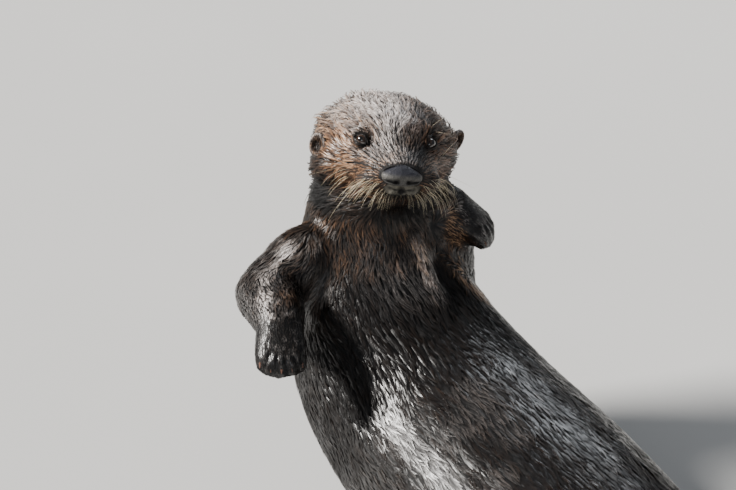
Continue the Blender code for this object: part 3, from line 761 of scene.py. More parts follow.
def trunk_folds(co, normals):
    """Loose skin: across the throat, behind each arm and at the left of the chest."""
    for drop, reach in THROAT_FOLDS:
        bends = [(reach * math.sin(a), -0.075 * math.cos(a) + 0.015, drop) for a in np.linspace(-1.0, 1.0, 7)]
        co = groove(co, normals, [spot("neck") + np.array(bend) for bend in bends], 4.0 * MM, 1.7 * MM)
    for side, sign in SIDES.items():
        elbow = spot(f"upper_arm_{side}")
        flank = spot("chest") + np.array([sign * 0.085, 0.010, 0.035])
        lower = spot("chest") + np.array([sign * 0.100, -0.060, -0.010])
        co = groove(co, normals, [elbow, flank, lower], 6.0 * MM, 3.0 * MM)
        inner = [elbow + np.array([0, -0.02, -0.01]), flank + (-sign * 0.012, -0.02, 0.0)]
        co = groove(co, normals, inner, 4.0 * MM, 2.0 * MM)
    co = groove(co, normals, LOOSE_FOLD, 4.5 * MM, -4.5 * MM)
    co = groove(co, normals, FOLD_HOLLOW, 5.5 * MM, 6.0 * MM)
    for place, height in NECK_SIDE:
        co = swell(co, normals, place, 13 * MM, height * MM)
    return co


def make_skin():
    skin = new_object("skin", welded_copy(FLESH_NODES + ["nose", "eye_left", "eye_right"], 0.6 * MM))
    remesh(skin, SKIN_VOXEL)
    co, tris, edges = mesh_arrays(skin.data)
    names = nearest_nodes(co)
    feet = (np.char.find(names, "paw") >= 0) | (np.char.find(names, "flipper") >= 0)
    broad = np.isin(names, ["chest", "belly", "hips", "thigh_left", "thigh_right"])
    ease = np.where(broad, 1.0, np.where(feet, 0.20, 0.6))
    ease = np.where(names == "neck", 0.45, ease)
    co = relax(co, edges, 26, soften_values(ease, edges, 6))
    set_points(skin.data, co)
    unwrap(skin)
    # finer points for head and feet, finer still for face and fore claws, and finest for lips and lids
    co, _, _ = refined(skin.data, (names == "head") | feet)
    x, y, z = in_head(co).T
    face = (x > 0.016) & (np.abs(y) < 0.054) & (np.abs(z) < 0.042)
    fore_claws = [f"claw_fore_{side}_{n}" for side in SIDES for n in range(1, 6)]
    co, _, _ = refined(skin.data, face | near_nodes(co, fore_claws, 0.030))
    x, y, z = in_head(co).T
    mouth = (x > 0.066) & (np.abs(y) < 0.024) & (z < -0.008) & (z > -0.032)
    co, tris, edges = refined(skin.data, mouth | near_nodes(co, ["eye_right", "eye_left"], 0.0145))
    names = nearest_nodes(co)
    fields = coat_fields(names, edges)
    local = in_head(co)
    near_face = soften_values(face_closeness(local) * (names == "head"), edges, 10)
    fields["headness"] = share_of("head", names, edges, 6)
    fields["neckness"] = share_of("neck", names, edges, 10)
    co = relax(co, edges, 8, fields["headness"])
    normals = point_normals(co, tris)
    _, y, z = local.T
    depth = fields["depth"] * (1 - 0.62 * near_face)
    depth += 3.0 * MM * smoothstep(0.0, -0.030, y) * smoothstep(0.004, 0.030, z) * fields["headness"]
    depth *= 0.30 + 0.70 * smoothstep(0.001, 0.016, co[:, 2])
    fields["depth"] = depth
    co = co - normals * depth[:, None]
    frames = eye_frames(co, normals)
    co = carve_face(co, edges, tris, frames)
    normals = point_normals(co, tris)
    for side in SIDES:
        for kind in TOES:
            co = shape_toes(co, normals, kind, side, share_of(f"{kind}_{side}", names, edges, 5))
    co = trunk_folds(co, normals)
    co[:, 2] = np.maximum(co[:, 2], FLOOR_GAP)
    set_points(skin.data, co)
    return skin, co, tris, edges, names, fields, near_face, frames


# ---- the lie of the coat and its markings ----
# the way that the hair of each limb's parts lies, for the right arm, the left arm and a left leg
ARM_WAYS = {
    "right": ((-0.053, -0.011, -0.012), (-0.025, -0.072, 0.018), (-0.024, -0.047, -0.020)),
    "left": ((0.030, -0.032, -0.042), (-0.009, 0.005, 0.098), (0.039, -0.029, -0.042)),
}
LEG_WAYS = ((0.050, -0.100, -0.002), (-0.010, -0.075, -0.036), (0.070, -0.165, 0.066))
NOSE_TIP = np.array([0.100, 0, 0.004])  # in the head's frame: the hair of the head lies away from it


def coat_flow(co, names):
    """The lie of the coat: back from the nose over the head, then along body and limbs to their tips."""
    flow = np.zeros_like(co)
    on_head = names == "head"
    flow[on_head] = (unit(in_head(co) - NOSE_TIP) @ HEAD_TURN.T)[on_head]
    ways = {"neck": unit(np.array(centre("chest") - centre("head")))}
    ways["chest"] = unit(np.array(centre("belly") - centre("neck")))
    ways.update(dict.fromkeys(("belly", "hips", "tail"), (0, -1, -0.05)))
    for side, sign in SIDES.items():
        limb_ways = ARM_WAYS[side] + tuple((x * sign, y, z) for x, y, z in LEG_WAYS)
        ways.update({f"{limb}_{side}": unit(np.array(way)) for limb, way in zip(LIMBS, limb_ways)})
    for name, way in ways.items():
        flow[names == name] = way
    return flow


# warm brown strips on the inner side of the arms: path, width, strength
WARM_STRIPS = (
    (((0.068, 0.388, 0.288), (0.086, 0.364, 0.206)), 7 * MM, 1.5),
    (((-0.085, 0.410, 0.276), (-0.128, 0.372, 0.272)), 6 * MM, 0.35),
)
# dark streaks by the eyes, in millimetres in the head's frame: path, width, strength. The first is painted
# shade beside the nose bridge on the head's shaded side; the others darken the inner corners of the eyes
SHADE_AND_TEAR_STREAKS = (
    (((36, 38, 26), (48, 29, 20), (64, 15, 12)), 4.0, 0.92),
    (((39, -34, 16), (45, -33, 8)), 2.8, 0.80),
    (((46, -30, 13), (53, -26, 9)), 2.2, 0.50),
)
# where painted highlights show the shine of the wet right arm and left shoulder, two places that stay matt,
# and one with a pale painted sheen between them
WET_ARM = (
    (-0.066, 0.432, 0.286), (-0.096, 0.430, 0.279), (-0.124, 0.418, 0.276),
    (-0.143, 0.392, 0.272), (-0.148, 0.362, 0.270),
)
LEFT_GLINT = ((0.073, 0.400, 0.300), (0.090, 0.386, 0.286), (0.107, 0.372, 0.266))
SHOULDER_CREASE, CHEST_TOP, CHEST_MIDDLE = (-0.047, 0.434, 0.294), (0.002, 0.368, 0.258), (0.0, 0.320, 0.235)


def lip_marks(local):
    """The bare lips, and painted shade in their creases: under the nose pad, between the lips and at the
    chin.
    """
    x, y, z = local.T
    side = np.abs(y)
    ahead = smoothstep(0.066, 0.072, x)
    uneven = 0.0016 * cloud(local, 0.0035, 51)
    lips = ahead * smoothstep(0.0205, 0.0150, side + uneven) * smoothstep(-0.0075, -0.0095, z)
    lips *= smoothstep(-0.0215, -0.0180, z + uneven)
    under_pad = np.abs(z + 0.0126 + 0.0018 * smoothstep(0.014, 0.0, side) + 0.6 * uneven)
    crease = 0.75 * smoothstep(0.0017, 0.0004, under_pad) * smoothstep(0.016, 0.008, side)
    middle = smoothstep(1.0, 0.30, np.hypot(y / 0.0074, (z + 0.0158 + uneven) / 0.0050))
    chin = 0.6 * smoothstep(0.0036, 0.0006, np.abs(z + 0.0222))
    return lips, ahead * np.maximum(np.maximum(crease, middle), chin)


def markings(co, fields, names, frames):
    """Colour marks of skin and coat, one row for each point: tone, frost, rust and sleekness, from 0 to 1."""
    local = in_head(co)
    x, y, z = local.T
    head = fields["headness"]
    side = np.abs(y)
    cheek = head * bump(side - 0.052, 0.018) * bump(z + 0.010, 0.020) * smoothstep(-0.030, 0.010, x)
    brow = head * bump(side - 0.050, 0.012) * bump(z - 0.026, 0.012) * smoothstep(0.0, 0.025, x)
    bridge = head * smoothstep(0.036, 0.056, x) * smoothstep(0.002, 0.012, z) * bump(y + 0.004, 0.018)
    crown = head * smoothstep(0.010, 0.036, z) * smoothstep(0.060, 0.030, x)
    nape = head * smoothstep(-0.008, -0.050, x)
    # under: painted shade beneath the head
    under = head * smoothstep(-0.026, -0.040, z)
    # painted light on the head: rightward is its right side, towards the key light, where the cheeks are
    # painted lighter; shaded is its left side, painted darker and redder as shade
    rightward = smoothstep(0.025, -0.030, y)
    shaded = head * (1 - rightward)
    # behind: painted shade behind the cheeks and under the ears
    behind = head * smoothstep(0.004, -0.005, x + 0.47 * z - 0.0245) * smoothstep(0.014, 0.002, z)
    tone = fields["tone"] + (0.05 + 0.10 * rightward) * cheek + 0.14 * brow + 0.02 * crown - 0.04 * bridge
    tone = tone * (1 - 0.65 * nape) * (1 - 0.85 * under) * (1 - 0.45 * shaded) * (1 - 0.90 * behind)
    # lit: where painted highlights go on the crown and on the lit side of the nose bridge
    lit = 0.06 + 0.38 * rightward + 1.35 * bump(y + 0.009, 0.018)
    frost_and_glare = (crown * (1 - 0.75 * nape) * lit + bridge * (0.05 + 1.10 * rightward)) * (1 - behind)
    rust = 0.44 * cheek + 0.30 * brow + 0.12 * head + 0.30 * shaded
    lips, crease_shade = lip_marks(local)
    # dark: painted shade in the eye sockets, the streaks by the eyes, and painted shade in the creases of the
    # lips
    dark = 0.92 * smoothstep(1.75, 1.15, eye_distance(co, frames)) * head
    for path, width, strength in SHADE_AND_TEAR_STREAKS:
        dark = np.maximum(dark, strength * head * bump(off_path(local, np.array(path) * MM), width * MM))
    dark = np.maximum(dark, head * crease_shade)
    tone, frost_and_glare, rust = [mark * (1 - lips) * (1 - dark) for mark in (tone, frost_and_glare, rust)]
    frost_and_glare = frost_and_glare * (0.70 + 0.60 * cloud(co, 0.011, 5))
    tone = tone * (1 + 0.45 * head * cloud(co, 0.009, 6)) + 0.05 * cloud(co, 0.035, 3) * head
    throat = fields["neckness"] * blotches(co, 0.012, 9, 0.20, 0.80) * bump(co[:, 0] - 0.006, 0.026)
    fold = bump(off_path(co, LOOSE_FOLD), 5 * MM)
    # painted glints: painted highlights along the wet right arm and the left shoulder
    painted_glints = 1.1 * bump(off_path(co, WET_ARM), 5 * MM) * blotches(co, 0.008, 31, -0.45, 0.15)
    painted_glints += 0.45 * bump(off_path(co, LEFT_GLINT), 9 * MM) * blotches(co, 0.006, 32, 0.1, 0.5)
    warm = sum(strength * bump(off_path(co, path), width) for path, width, strength in WARM_STRIPS)
    tone += 0.60 * warm + 0.17 * throat + 0.22 * fold + 0.20 * painted_glints
    rust += 0.25 * warm + 0.35 * throat
    # a pale painted sheen on the chest's top, and the painted glints
    frost_and_glare += 0.40 * fold + 0.18 * bump(away_from(co, CHEST_TOP), 0.018) + 1.10 * painted_glints
    right_arm = np.isin(names, ["forearm_right", "forepaw_right", "upper_arm_right"])
    # a painted sky reflection over the right arm
    frost_and_glare += right_arm * (0.02 + 0.15 * blotches(co, 0.005, 33, 0.0, 0.6))
    frost_and_glare += 0.08 * (1 - head) * (names != "chest") * blotches(co, 0.040, 17, 0.1, 0.8)
    sleek = fields["sleek"] * (1 - 0.8 * dark) * (1 - 0.6 * behind) * (1 - 0.5 * lips)
    sleek += 0.20 * bridge + 0.15 * crown
    sleek *= (1 - 0.55 * shaded) * (1 - 0.95 * bump(away_from(co, SHOULDER_CREASE), 0.024))
    lengthwise = np.array([1.0, 1.6, 1.0])
    sleek *= 1 - 0.7 * bump(np.linalg.norm((co - CHEST_MIDDLE) / lengthwise, axis=1), 0.030)
    return np.clip(np.stack([tone, frost_and_glare, rust, sleek], 1), 0, 1)


# ---- tufts ----
def tuft_pattern(rings):
    """Faces of one tuft and the place of their corners in its patch. Three sides, tapering to a point."""
    faces, patch = [(0, 2, 1)], [(0, 0), (1, 0), (0.5, 0.06)]
    heights = [PATCH_FOOT + (1 - PATCH_FOOT) * ring / rings for ring in range(rings)] + [1]
    for ring, (low, high) in enumerate(zip(heights, heights[1:])):
        for side in range(3):
            a, b = 3 * ring + side, 3 * ring + (side + 1) % 3
            u0, u1 = side / 3, (side + 1) / 3
            if ring < rings - 1:
                faces += [(a, b, b + 3), (a, b + 3, a + 3)]
                patch += [(u0, low), (u1, low), (u1, high), (u0, low), (u1, high), (u0, high)]
            else:
                faces.append((a, b, 3 * rings))
                patch += [(u0, low), (u1, low), ((side + 0.5) / 3, 1)]
    return np.array(faces), np.array(patch)


def pick_roots(co, tris, spacing, rng):
    """Roots spread evenly over triangles: random places, thinned to one in each cell of the local spacing."""
    area = np.linalg.norm(face_crosses(co, tris), axis=1) / 2
    gap = spacing[tris].mean(1)
    number = np.floor(2.2 * area / gap**2 + rng.random(len(tris))).astype(int)
    tri = np.repeat(np.arange(len(tris)), number)
    r1, r2 = np.sqrt(rng.random(len(tri))), rng.random(len(tri))
    weights = np.stack([1 - r1, r1 * (1 - r2), r1 * r2], 1)
    points = (co[tris[tri]] * weights[:, :, None]).sum(1)
    cell = np.floor(points / gap[tri][:, None]).astype(np.int64)
    level = np.round(np.log2(gap[tri]) * 4).astype(np.int64)
    _, first = np.unique(np.column_stack([cell, level]), axis=0, return_index=True)
    first.sort()
    return tri[first], weights[first], points[first]


class Surface:
    """What tufts need from the surface they grow on: points, faces, lie of the coat, markings and map."""

    def __init__(self, obj, co, tris, fields, flow, marks):
        self.co, self.tris, self.fields, self.marks = co, tris, fields, marks
        self.normals = point_normals(co, tris)
        self.flow = unit(flow - self.normals * (flow * self.normals).sum(1)[:, None])
        self.near_face = self.lips = np.zeros(len(co))
        self.eye_measure = np.full(len(co), 9.0)
        self.tree = BVHTree.FromPolygons(co.tolist(), tris.tolist())
        obj.data.calc_loop_triangles()
        loops = read(obj.data.loop_triangles, "loops", 3)
        self.uv = read(obj.data.uv_layers["OFBake"].data, "uv", 2, float)[loops]

    def at(self, values, tri, weights):
        picked = values[self.tris[tri]]
        return (picked * (weights[:, :, None] if picked.ndim == 3 else weights)).sum(1)

    def drape(self, points, heights):
        """Puts points over the surface, each at its own height, and gives the smooth normal there."""
        found = [self.tree.find_nearest(point) for point in points.tolist()]
        up = unit(self.normals[self.tris[[face for _, _, face, _ in found]]].mean(1))
        return np.array([place for place, _, _, _ in found]) + up * heights[:, None], up


def wet_locks(roots, flow, side, size, seed):
    """For each root, its lock: sideways way to the lock's ridge, nearness to it and the lock's number."""
    base = np.floor(roots / size).astype(np.int64)
    best = np.full(len(roots), 1e9)
    offset, number = np.zeros(len(roots)), np.zeros(len(roots))
    for step in np.ndindex(3, 3, 3):
        cell = base + np.array(step[::-1]) - 1
        jitter = np.stack([hashed(cell, seed + k) for k in range(3)], 1)
        away = (cell + 0.10 + 0.8 * jitter) * size - roots
        along, across = (away * flow).sum(1), (away * side).sum(1)
        deep = np.linalg.norm(away - flow * along[:, None] - side * across[:, None], axis=1)
        distance = np.sqrt((0.50 * along) ** 2 + (1.40 * across) ** 2 + (0.7 * deep) ** 2)
        closer = distance < best
        best[closer] = distance[closer]
        offset[closer] = across[closer]
        number[closer] = hashed(cell, seed + 7)[closer]
    return offset, smoothstep(0.66, 0.12, np.abs(offset) * 1.6 / size + 0.25 * best / size), number


def triangle_mesh(name, co, faces):
    mesh = bpy.data.meshes.new(name)
    mesh.vertices.add(len(co))
    write(mesh.vertices, "co", co)
    mesh.loops.add(len(faces) * 3)
    write(mesh.loops, "vertex_index", faces, np.int32)
    mesh.polygons.add(len(faces))
    write(mesh.polygons, "loop_start", np.arange(0, len(faces) * 3, 3), np.int32)
    mesh.update(calc_edges=True)
    return mesh


def make_coat(name, on, where, slot, seed, rings, clump, pull=0.6, curl=0.16, gap=1, long=1, wide=1, lift=1):
    """Tufts over the chosen triangles, joined in one mesh. Wet tufts lean into clumps so many mm wide."""
    rng = np.random.default_rng(seed)
    clump = clump * MM
    tri, weights, roots = pick_roots(on.co, on.tris[where], on.fields["spacing"] * gap, rng)
    tri = np.flatnonzero(where)[tri]
    count = len(roots)

    def at(values):
        return on.at(values, tri, weights)

    value = {key: at(on.fields[key]) for key in COLUMNS}
    normals, flow = unit(at(on.normals)), unit(at(on.flow))
    short, sleek = at(on.near_face), value["sleek"]
    from_eye = smoothstep(1.1, 3.2, at(on.eye_measure))
    side = np.cross(normals, flow)
    offset, ridge, lump_tone = wet_locks(roots, flow, side, clump, seed)
    swirl = cloud(roots, 0.014, 77) + 0.5 * cloud(roots, 0.006, 78)
    angle = np.radians(value["swirl"]) * (1 - 0.55 * short) * swirl + rng.normal(0, 0.07, count)
    angle += 0.35 * (lump_tone - 0.5) * (1 - sleek)
    ahead = unit(flow * np.cos(angle)[:, None] + side * np.sin(angle)[:, None])
    side = np.cross(normals, ahead)
    size = rng.uniform(0.72, 1.20, count) * (1 - 0.60 * short) * (0.45 + 0.55 * from_eye)
    size *= 1 - 0.70 * at(on.lips)
    length = value["length"] * size * long
    width = value["width"] * rng.uniform(0.75, 1.2, count) * (1 - 0.40 * short) * wide
    stand = value["depth"] * lift * (0.45 + 0.35 * lump_tone + 0.20 * rng.random(count))
    stand *= np.minimum(size + 0.2, 1)
    stand *= (0.25 + 0.75 * smoothstep(0.0, 0.012, roots[:, 2])) * (0.62 + 0.55 * ridge)
    bend = rng.normal(0, curl * 0.6, count) + curl * 1.4 * cloud(roots, 0.010, 79)
    lean = side * np.clip(offset, -0.4 * clump, 0.4 * clump)[:, None]
    loose = (1 - 0.85 * sleek)[:, None]
    turn_off = -side * np.clip(offset / (0.30 * clump), -1.2, 1.2)[:, None] * loose
    relief = 0.36 - 0.20 * sleek
    points, tips, facing = [], [], []
    for ring in range(rings + 1):
        t = ring / rings
        middle = roots + ahead * (length * t)[:, None] + side * (bend * length * t * t)[:, None]
        middle = middle + lean * (pull * t)
        height = stand * (0.10 + 0.90 * math.sin(min(1.0, t * 1.15) * math.pi / 2)) - 0.25 * MM * (1 - t)
        place, up = on.drape(middle, height) if ring else (middle + normals * height[:, None], normals)
        if ring == rings:
            points.append(place)
            tips.append(np.ones(count))
            facing.append(unit(up + turn_off + ahead * 0.6 * loose))
            break
        spread = width * (1 - 0.12 * t - 0.52 * t * t)
        across = unit(np.cross(up, ahead)) * (spread / 2)[:, None]
        points += [place - across, place + across, place + up * (spread * relief + 0.05 * MM)[:, None]]
        tips += [np.full(count, t)] * 3
        turned = unit(across) * 0.40 * loose
        bowed = up + turn_off + ahead * 0.8 * (t - 0.35) * loose
        facing += [unit(bowed - turned), unit(bowed + turned), unit(bowed)]
    per_tuft = 3 * rings + 1
    co = np.stack(points, 1).reshape(-1, 3)
    co[:, 2] = np.maximum(co[:, 2], TUFT_GAP)
    faces, patch = tuft_pattern(rings)
    all_faces = (faces[None] + (np.arange(count) * per_tuft)[:, None, None]).reshape(-1, 3)
    mesh = triangle_mesh(name, co, all_faces)
    root_uv = (on.uv[tri] * weights[:, :, None]).sum(1)
    uv = root_uv[:, None] + (patch[None] - 0.5) * PATCH
    write(mesh.uv_layers.new(name="OFBake").data, "uv", np.clip(uv, 0, 1))
    write_colour(mesh, "markings", np.repeat(at(on.marks), per_tuft, axis=0))
    # tufts on a lock's ridge are painted lighter and those at its edges darker, as painted highlight and
    # shade across each wet lock; the lock's own tone and a random part join them
    tones = np.repeat(0.30 * lump_tone + 0.42 * ridge + 0.28 * rng.random(count), per_tuft)
    write_colour(mesh, "tuft", np.column_stack([np.stack(tips, 1).reshape(-1), tones]))
    obj = new_object(name, mesh)
    shade(obj, TUFT_FUR)
    mesh.normals_split_custom_set_from_vertices(np.stack(facing, 1).reshape(-1, 3).tolist())
    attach(obj, "root")
    print("coat", name, count, "tufts", len(all_faces), "triangles")


# ---- small pieces ----
def make_eyes(frames):
    for side, (middle, radius, out, left, up) in frames.items():
        place = Matrix.Translation(middle) @ Matrix((out, left, up)).transposed().to_4x4()
        mesh = ball(f"eyeball_{side}", 40, 24, radius, place)
        co, _, _ = mesh_arrays(mesh)
        ahead = (co - middle) @ out / radius
        cornea = 0.6 * MM * smoothstep(0.72, 1.0, ahead)
        set_points(mesh, co + out * cornea[:, None])
        write_number(mesh, "iris", np.arccos(np.clip(ahead, -1, 1)) / 1.1)
        eye = new_object(f"eyeball_{side}", mesh)
        shade(eye, EYE)
        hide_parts(f"eye_{side}")
        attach(eye, "root")


NOSE_NARROW = np.array([1.0, 0.955, 1.0])
SQUARENESS = (0.55, 0.72, 0.74)  # powers that make the nose pad blunter ahead, to the sides and upwards


def make_nose():
    """The bare nose pad: arched above, drawn in below, split by a groove, with comma-shaped nostrils."""
    middle, half = nose_box()
    half = half * NOSE_NARROW
    mesh = ball("nose_pad", 112, 64, 1.0, Matrix.Identity(4))
    round_co, _, _ = mesh_arrays(mesh)
    x, y, z = [np.sign(way) * np.abs(way) ** power for way, power in zip(round_co.T, SQUARENESS)]
    # above: the pad's top, which gets painted shade
    above = smoothstep(0.02, 0.42, z)
    y = y * (1 - 0.60 * smoothstep(0.0, 1.15, z) - 0.08 * smoothstep(-0.5, -1.0, z))
    z = z * (1 - 0.14 * smoothstep(-0.2, -1.0, z)) - 0.05 * smoothstep(0.35, 0.0, np.abs(y)) * (z < 0)
    x = x - 0.50 * smoothstep(0.05, 1.0, z) * (x > 0) - 0.16 * y**2 * (x > 0)
    px, py, pz = x * half[0], y * half[1], z * half[2]
    pit = np.zeros(len(px))
    for sign in SIDES.values():
        hole = bump(np.hypot((py * sign - 0.0062) / 1.6, pz + 0.0048), 1.35 * MM)
        slit_y = py * sign - 0.0130
        slit = bump(np.hypot(slit_y / 3.6, pz + 0.0046 - 0.10 * slit_y), 0.90 * MM)
        wing = bump(np.hypot((py * sign - 0.0100) / 2.4, pz + 0.0005), 1.8 * MM)
        px = px - (5.5 * MM * hole + 3.4 * MM * slit - 0.9 * MM * wing) * smoothstep(-0.1, 0.30, x)
        # pit: the nostrils, which get painted shade
        pit = np.maximum(pit, np.maximum(hole, slit) ** 0.7)
    px = px - 1.1 * MM * bump(py - 0.0008, 0.8 * MM) * smoothstep(0.25, -0.2, z) * smoothstep(0.0, 0.3, x)
    co = from_head(middle + np.stack([px, py, pz], 1))
    pebbles = 0.16 * cloud(co, 0.0012, 21) + 0.22 * cloud(co, 0.0030, 22)
    set_points(mesh, co + unit(co - from_head([middle])[0]) * (pebbles * MM)[:, None])
    write_colour(mesh, "nose", np.stack([above, pit], 1))
    nose = new_object("nose_pad", mesh)
    shade(nose, NOSE)
    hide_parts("nose")
    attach(nose, "root")


def make_ears():
    """Small thick leaves with a rolled rim, refined from the CAD's ears, under very short fur."""
    for seed, (side, sign) in enumerate(SIDES.items()):
        ear = new_object(f"ear_leaf_{side}", welded_copy([f"ear_{side}"], -0.35 * MM))
        remesh(ear, EAR_VOXEL)
        co, tris, edges = mesh_arrays(ear.data)
        co = relax(co, edges, 6, 1.0)
        middle = co.mean(0)
        tall, wide, thin = np.linalg.svd(co - middle, full_matrices=False)[2]
        thin = thin * np.sign(thin @ (HEAD_TURN @ (0.8, 0.6 * sign, 0.0)))
        tall = tall * np.sign(tall @ HEAD_LEFT * sign)
        across, up = (co - middle) @ wide, (co - middle) @ tall
        reach = np.hypot(across / np.abs(across).max(), up / np.abs(up).max())
        front = smoothstep(0.1, 0.6, point_normals(co, tris) @ thin)
        hollow = smoothstep(0.80, 0.25, reach) * front
        rim = 0.9 * MM * bump(reach - 0.90, 0.10) * front
        co = co - thin * (2.0 * MM * hollow)[:, None] + thin * rim[:, None]
        co = co - point_normals(co, tris) * 0.5 * MM
        set_points(ear.data, co)
        unwrap(ear)
        even = np.ones(len(co))
        # painted highlight on the ear's rim, and painted shade darkening its hollow
        frost_and_glare = 0.85 * bump(reach - 0.95, 0.14)
        marks = np.column_stack([0.42 * (1 - 0.80 * hollow), frost_and_glare, 0.25 * even, 0.30 * (1 - hollow)])
        write_colour(ear.data, "markings", marks)
        write_colour(ear.data, "tuft", np.tile((0.5, 0.5, 0.0), (len(co), 1)))
        shade(ear, SKIN_FUR)
        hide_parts(f"ear_{side}")
        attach(ear, "root")
        fields = {key: value * even for key, value in EAR_COAT.items()}
        leaf = Surface(ear, co, tris, fields, np.tile(tall, (len(co), 1)), marks)
        make_coat(f"coat_ear_{side}", leaf, np.ones(len(tris), bool), "head_fur", 400 + seed, 2, 3.0)


HAIR_POINTS, HAIR_SIDES = 12, 5
HAIR_RADIUS, HAIR_TIP = 0.20 * MM, 0.22  # at the root, and the tip's share of it
WHISKERS_A_SIDE = 54
# long hairs at brow and cheek, in the head's frame: place to the left and up, way, droop and length
BROW_HAIR = (0.036, 0.034, (0.75, 0.50, 0.40), (-0.3, 0.9, 0.4), 0.020)
CHEEK_HAIR = (0.043, -0.004, (0.4, 0.9, 0.0), (-0.4, 1, -0.5), 0.046)
UPPER_HAIRS = (
    (0.040, 0.031, (0.75, 0.50, 0.20), (-0.3, 0.9, -0.1), 0.023),
    (0.046, 0.004, (0.6, 0.5, 0.5), (-0.1, 0.5, 0.7), 0.026),
)
LONG_HAIRS = {"right": (BROW_HAIR, CHEEK_HAIR), "left": (BROW_HAIR, *UPPER_HAIRS, CHEEK_HAIR)}


def whisker_tree():
    """Geometry nodes that sweep a thin round hair, thick at its root, along each curve of the object."""
    tree = bpy.data.node_groups.new("whiskers", "GeometryNodeTree")
    tree.interface.new_socket("Geometry", in_out="INPUT", socket_type="NodeSocketGeometry")
    thick = tree.interface.new_socket("Root Radius", in_out="INPUT", socket_type="NodeSocketFloat")
    finish = tree.interface.new_socket("Material", in_out="INPUT", socket_type="NodeSocketMaterial")
    tree.interface.new_socket("Geometry", in_out="OUTPUT", socket_type="NodeSocketGeometry")
    given, out = tree.nodes.new("NodeGroupInput").outputs, tree.nodes.new("NodeGroupOutput")
    curve = node(tree, "GeometryNodeMeshToCurve", {"Mesh": given["Geometry"]}).outputs[0]
    along = node(tree, "GeometryNodeSplineParameter").outputs["Factor"]
    inputs = {"Geometry": curve, "Name": "along", "Value": along}
    stored = node(tree, "GeometryNodeStoreNamedAttribute", inputs, data_type="FLOAT", domain="POINT")
    share = node(tree, "GeometryNodeInputNamedAttribute", {"Name": "thickness"}, data_type="FLOAT")
    radius = product(tree, scaled(tree, along, 0, 1, 1.0, HAIR_TIP), given["Root Radius"])
    radius = product(tree, radius, share.outputs["Attribute"])
    ring = node(tree, "GeometryNodeCurvePrimitiveCircle", {"Resolution": HAIR_SIDES, "Radius": 1.0})
    inputs = {0: stored.outputs[0], "Profile Curve": ring.outputs[0], "Scale": radius, "Fill Caps": True}
    sweep = node(tree, "GeometryNodeCurveToMesh", inputs).outputs[0]
    real = node(tree, "GeometryNodeRealizeInstances", {0: sweep}).outputs[0]
    painted = node(tree, "GeometryNodeSetMaterial", {"Geometry": real, "Material": given["Material"]})
    feed(tree, out, {0: painted.outputs[0]})
    return tree, thick.identifier, finish.identifier


def whisker_path(root, way, droop, length):
    """A hair that leaves along way and bends towards droop."""
    path = [root]
    for t in np.linspace(0, 1, HAIR_POINTS)[1:]:
        heading = unit(way * (1 - 0.75 * t) + droop * (1.15 * t))
        path.append(path[-1] + heading * length / (HAIR_POINTS - 1))
    return path


def make_whiskers(skin):
    """A dense fringe along the lip and over the pads, and a few long hairs at the brows and cheeks."""
    rng = np.random.default_rng(41)
    hairs = []  # place to the left and up, way, droop, length and thickness, in the head's frame
    for side, sign in SIDES.items():
        for n in range(WHISKERS_A_SIDE):
            out = ((n + 0.5) / WHISKERS_A_SIDE) ** 0.66
            y = -0.0010 + 0.0450 * out + rng.normal(0, 0.0012)
            z = rng.uniform(-0.0215, -0.0195 + 0.0165 * smoothstep(0.28, 0.62, out))
            length = (0.010 + 0.021 * out) * rng.uniform(0.60, 1.30) * (1.6 if rng.random() < 0.06 else 1)
            way = np.array([0.85 - 0.60 * out, sign * (0.10 + 0.90 * out), -0.35 + 0.20 * out])
            droop = np.array([-0.35, sign * (0.02 + 0.18 * out), -1.0])
            hairs.append((y * sign, z, way, droop, length, 0.60 + 0.40 * smoothstep(0.10, 0.45, out)))
        mirror = np.array([1, sign, 1])
        for y, z, way, droop, length in LONG_HAIRS[side]:
            hairs.append((sign * y, z, way * mirror, droop * mirror, length, 0.8))
    paths, thickness = [], []
    for y, z, way, droop, length, thick in hairs:
        place, normal, _, _ = skin.tree.ray_cast(Vector(head_spot(120, y / MM, z / MM)), Vector(-HEAD_AHEAD))
        if place is not None:
            way = HEAD_TURN @ unit(way) + rng.normal(0, 0.19, 3)
            root = np.array(place - normal * 0.8 * MM)
            paths.append(whisker_path(root, way, HEAD_TURN @ unit(droop), length))
            thickness.append(thick)
    starts = range(0, len(paths) * HAIR_POINTS, HAIR_POINTS)
    edges = [(start + k, start + k + 1) for start in starts for k in range(HAIR_POINTS - 1)]
    mesh = bpy.data.meshes.new("whiskers")
    mesh.from_pydata(np.concatenate(paths).tolist(), edges, [])
    write_number(mesh, "thickness", np.repeat(thickness, HAIR_POINTS))
    whiskers = new_object("whiskers", mesh)
    grow = whiskers.modifiers.new("grow", "NODES")
    grow.node_group, radius, finish = whisker_tree()
    grow[radius] = HAIR_RADIUS
    grow[finish] = WHISKER
    apply_modifiers(whiskers)
    whiskers.data.shade_smooth()
    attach(whiskers, "root")
    print("whiskers", len(paths), len(whiskers.data.polygons))


def finish_claws():
    for name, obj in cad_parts.items():
        if name.startswith("claw_"):
            for slot in obj.material_slots:
                slot.material = HORN
            if not obj.material_slots:
                obj.data.materials.append(HORN)


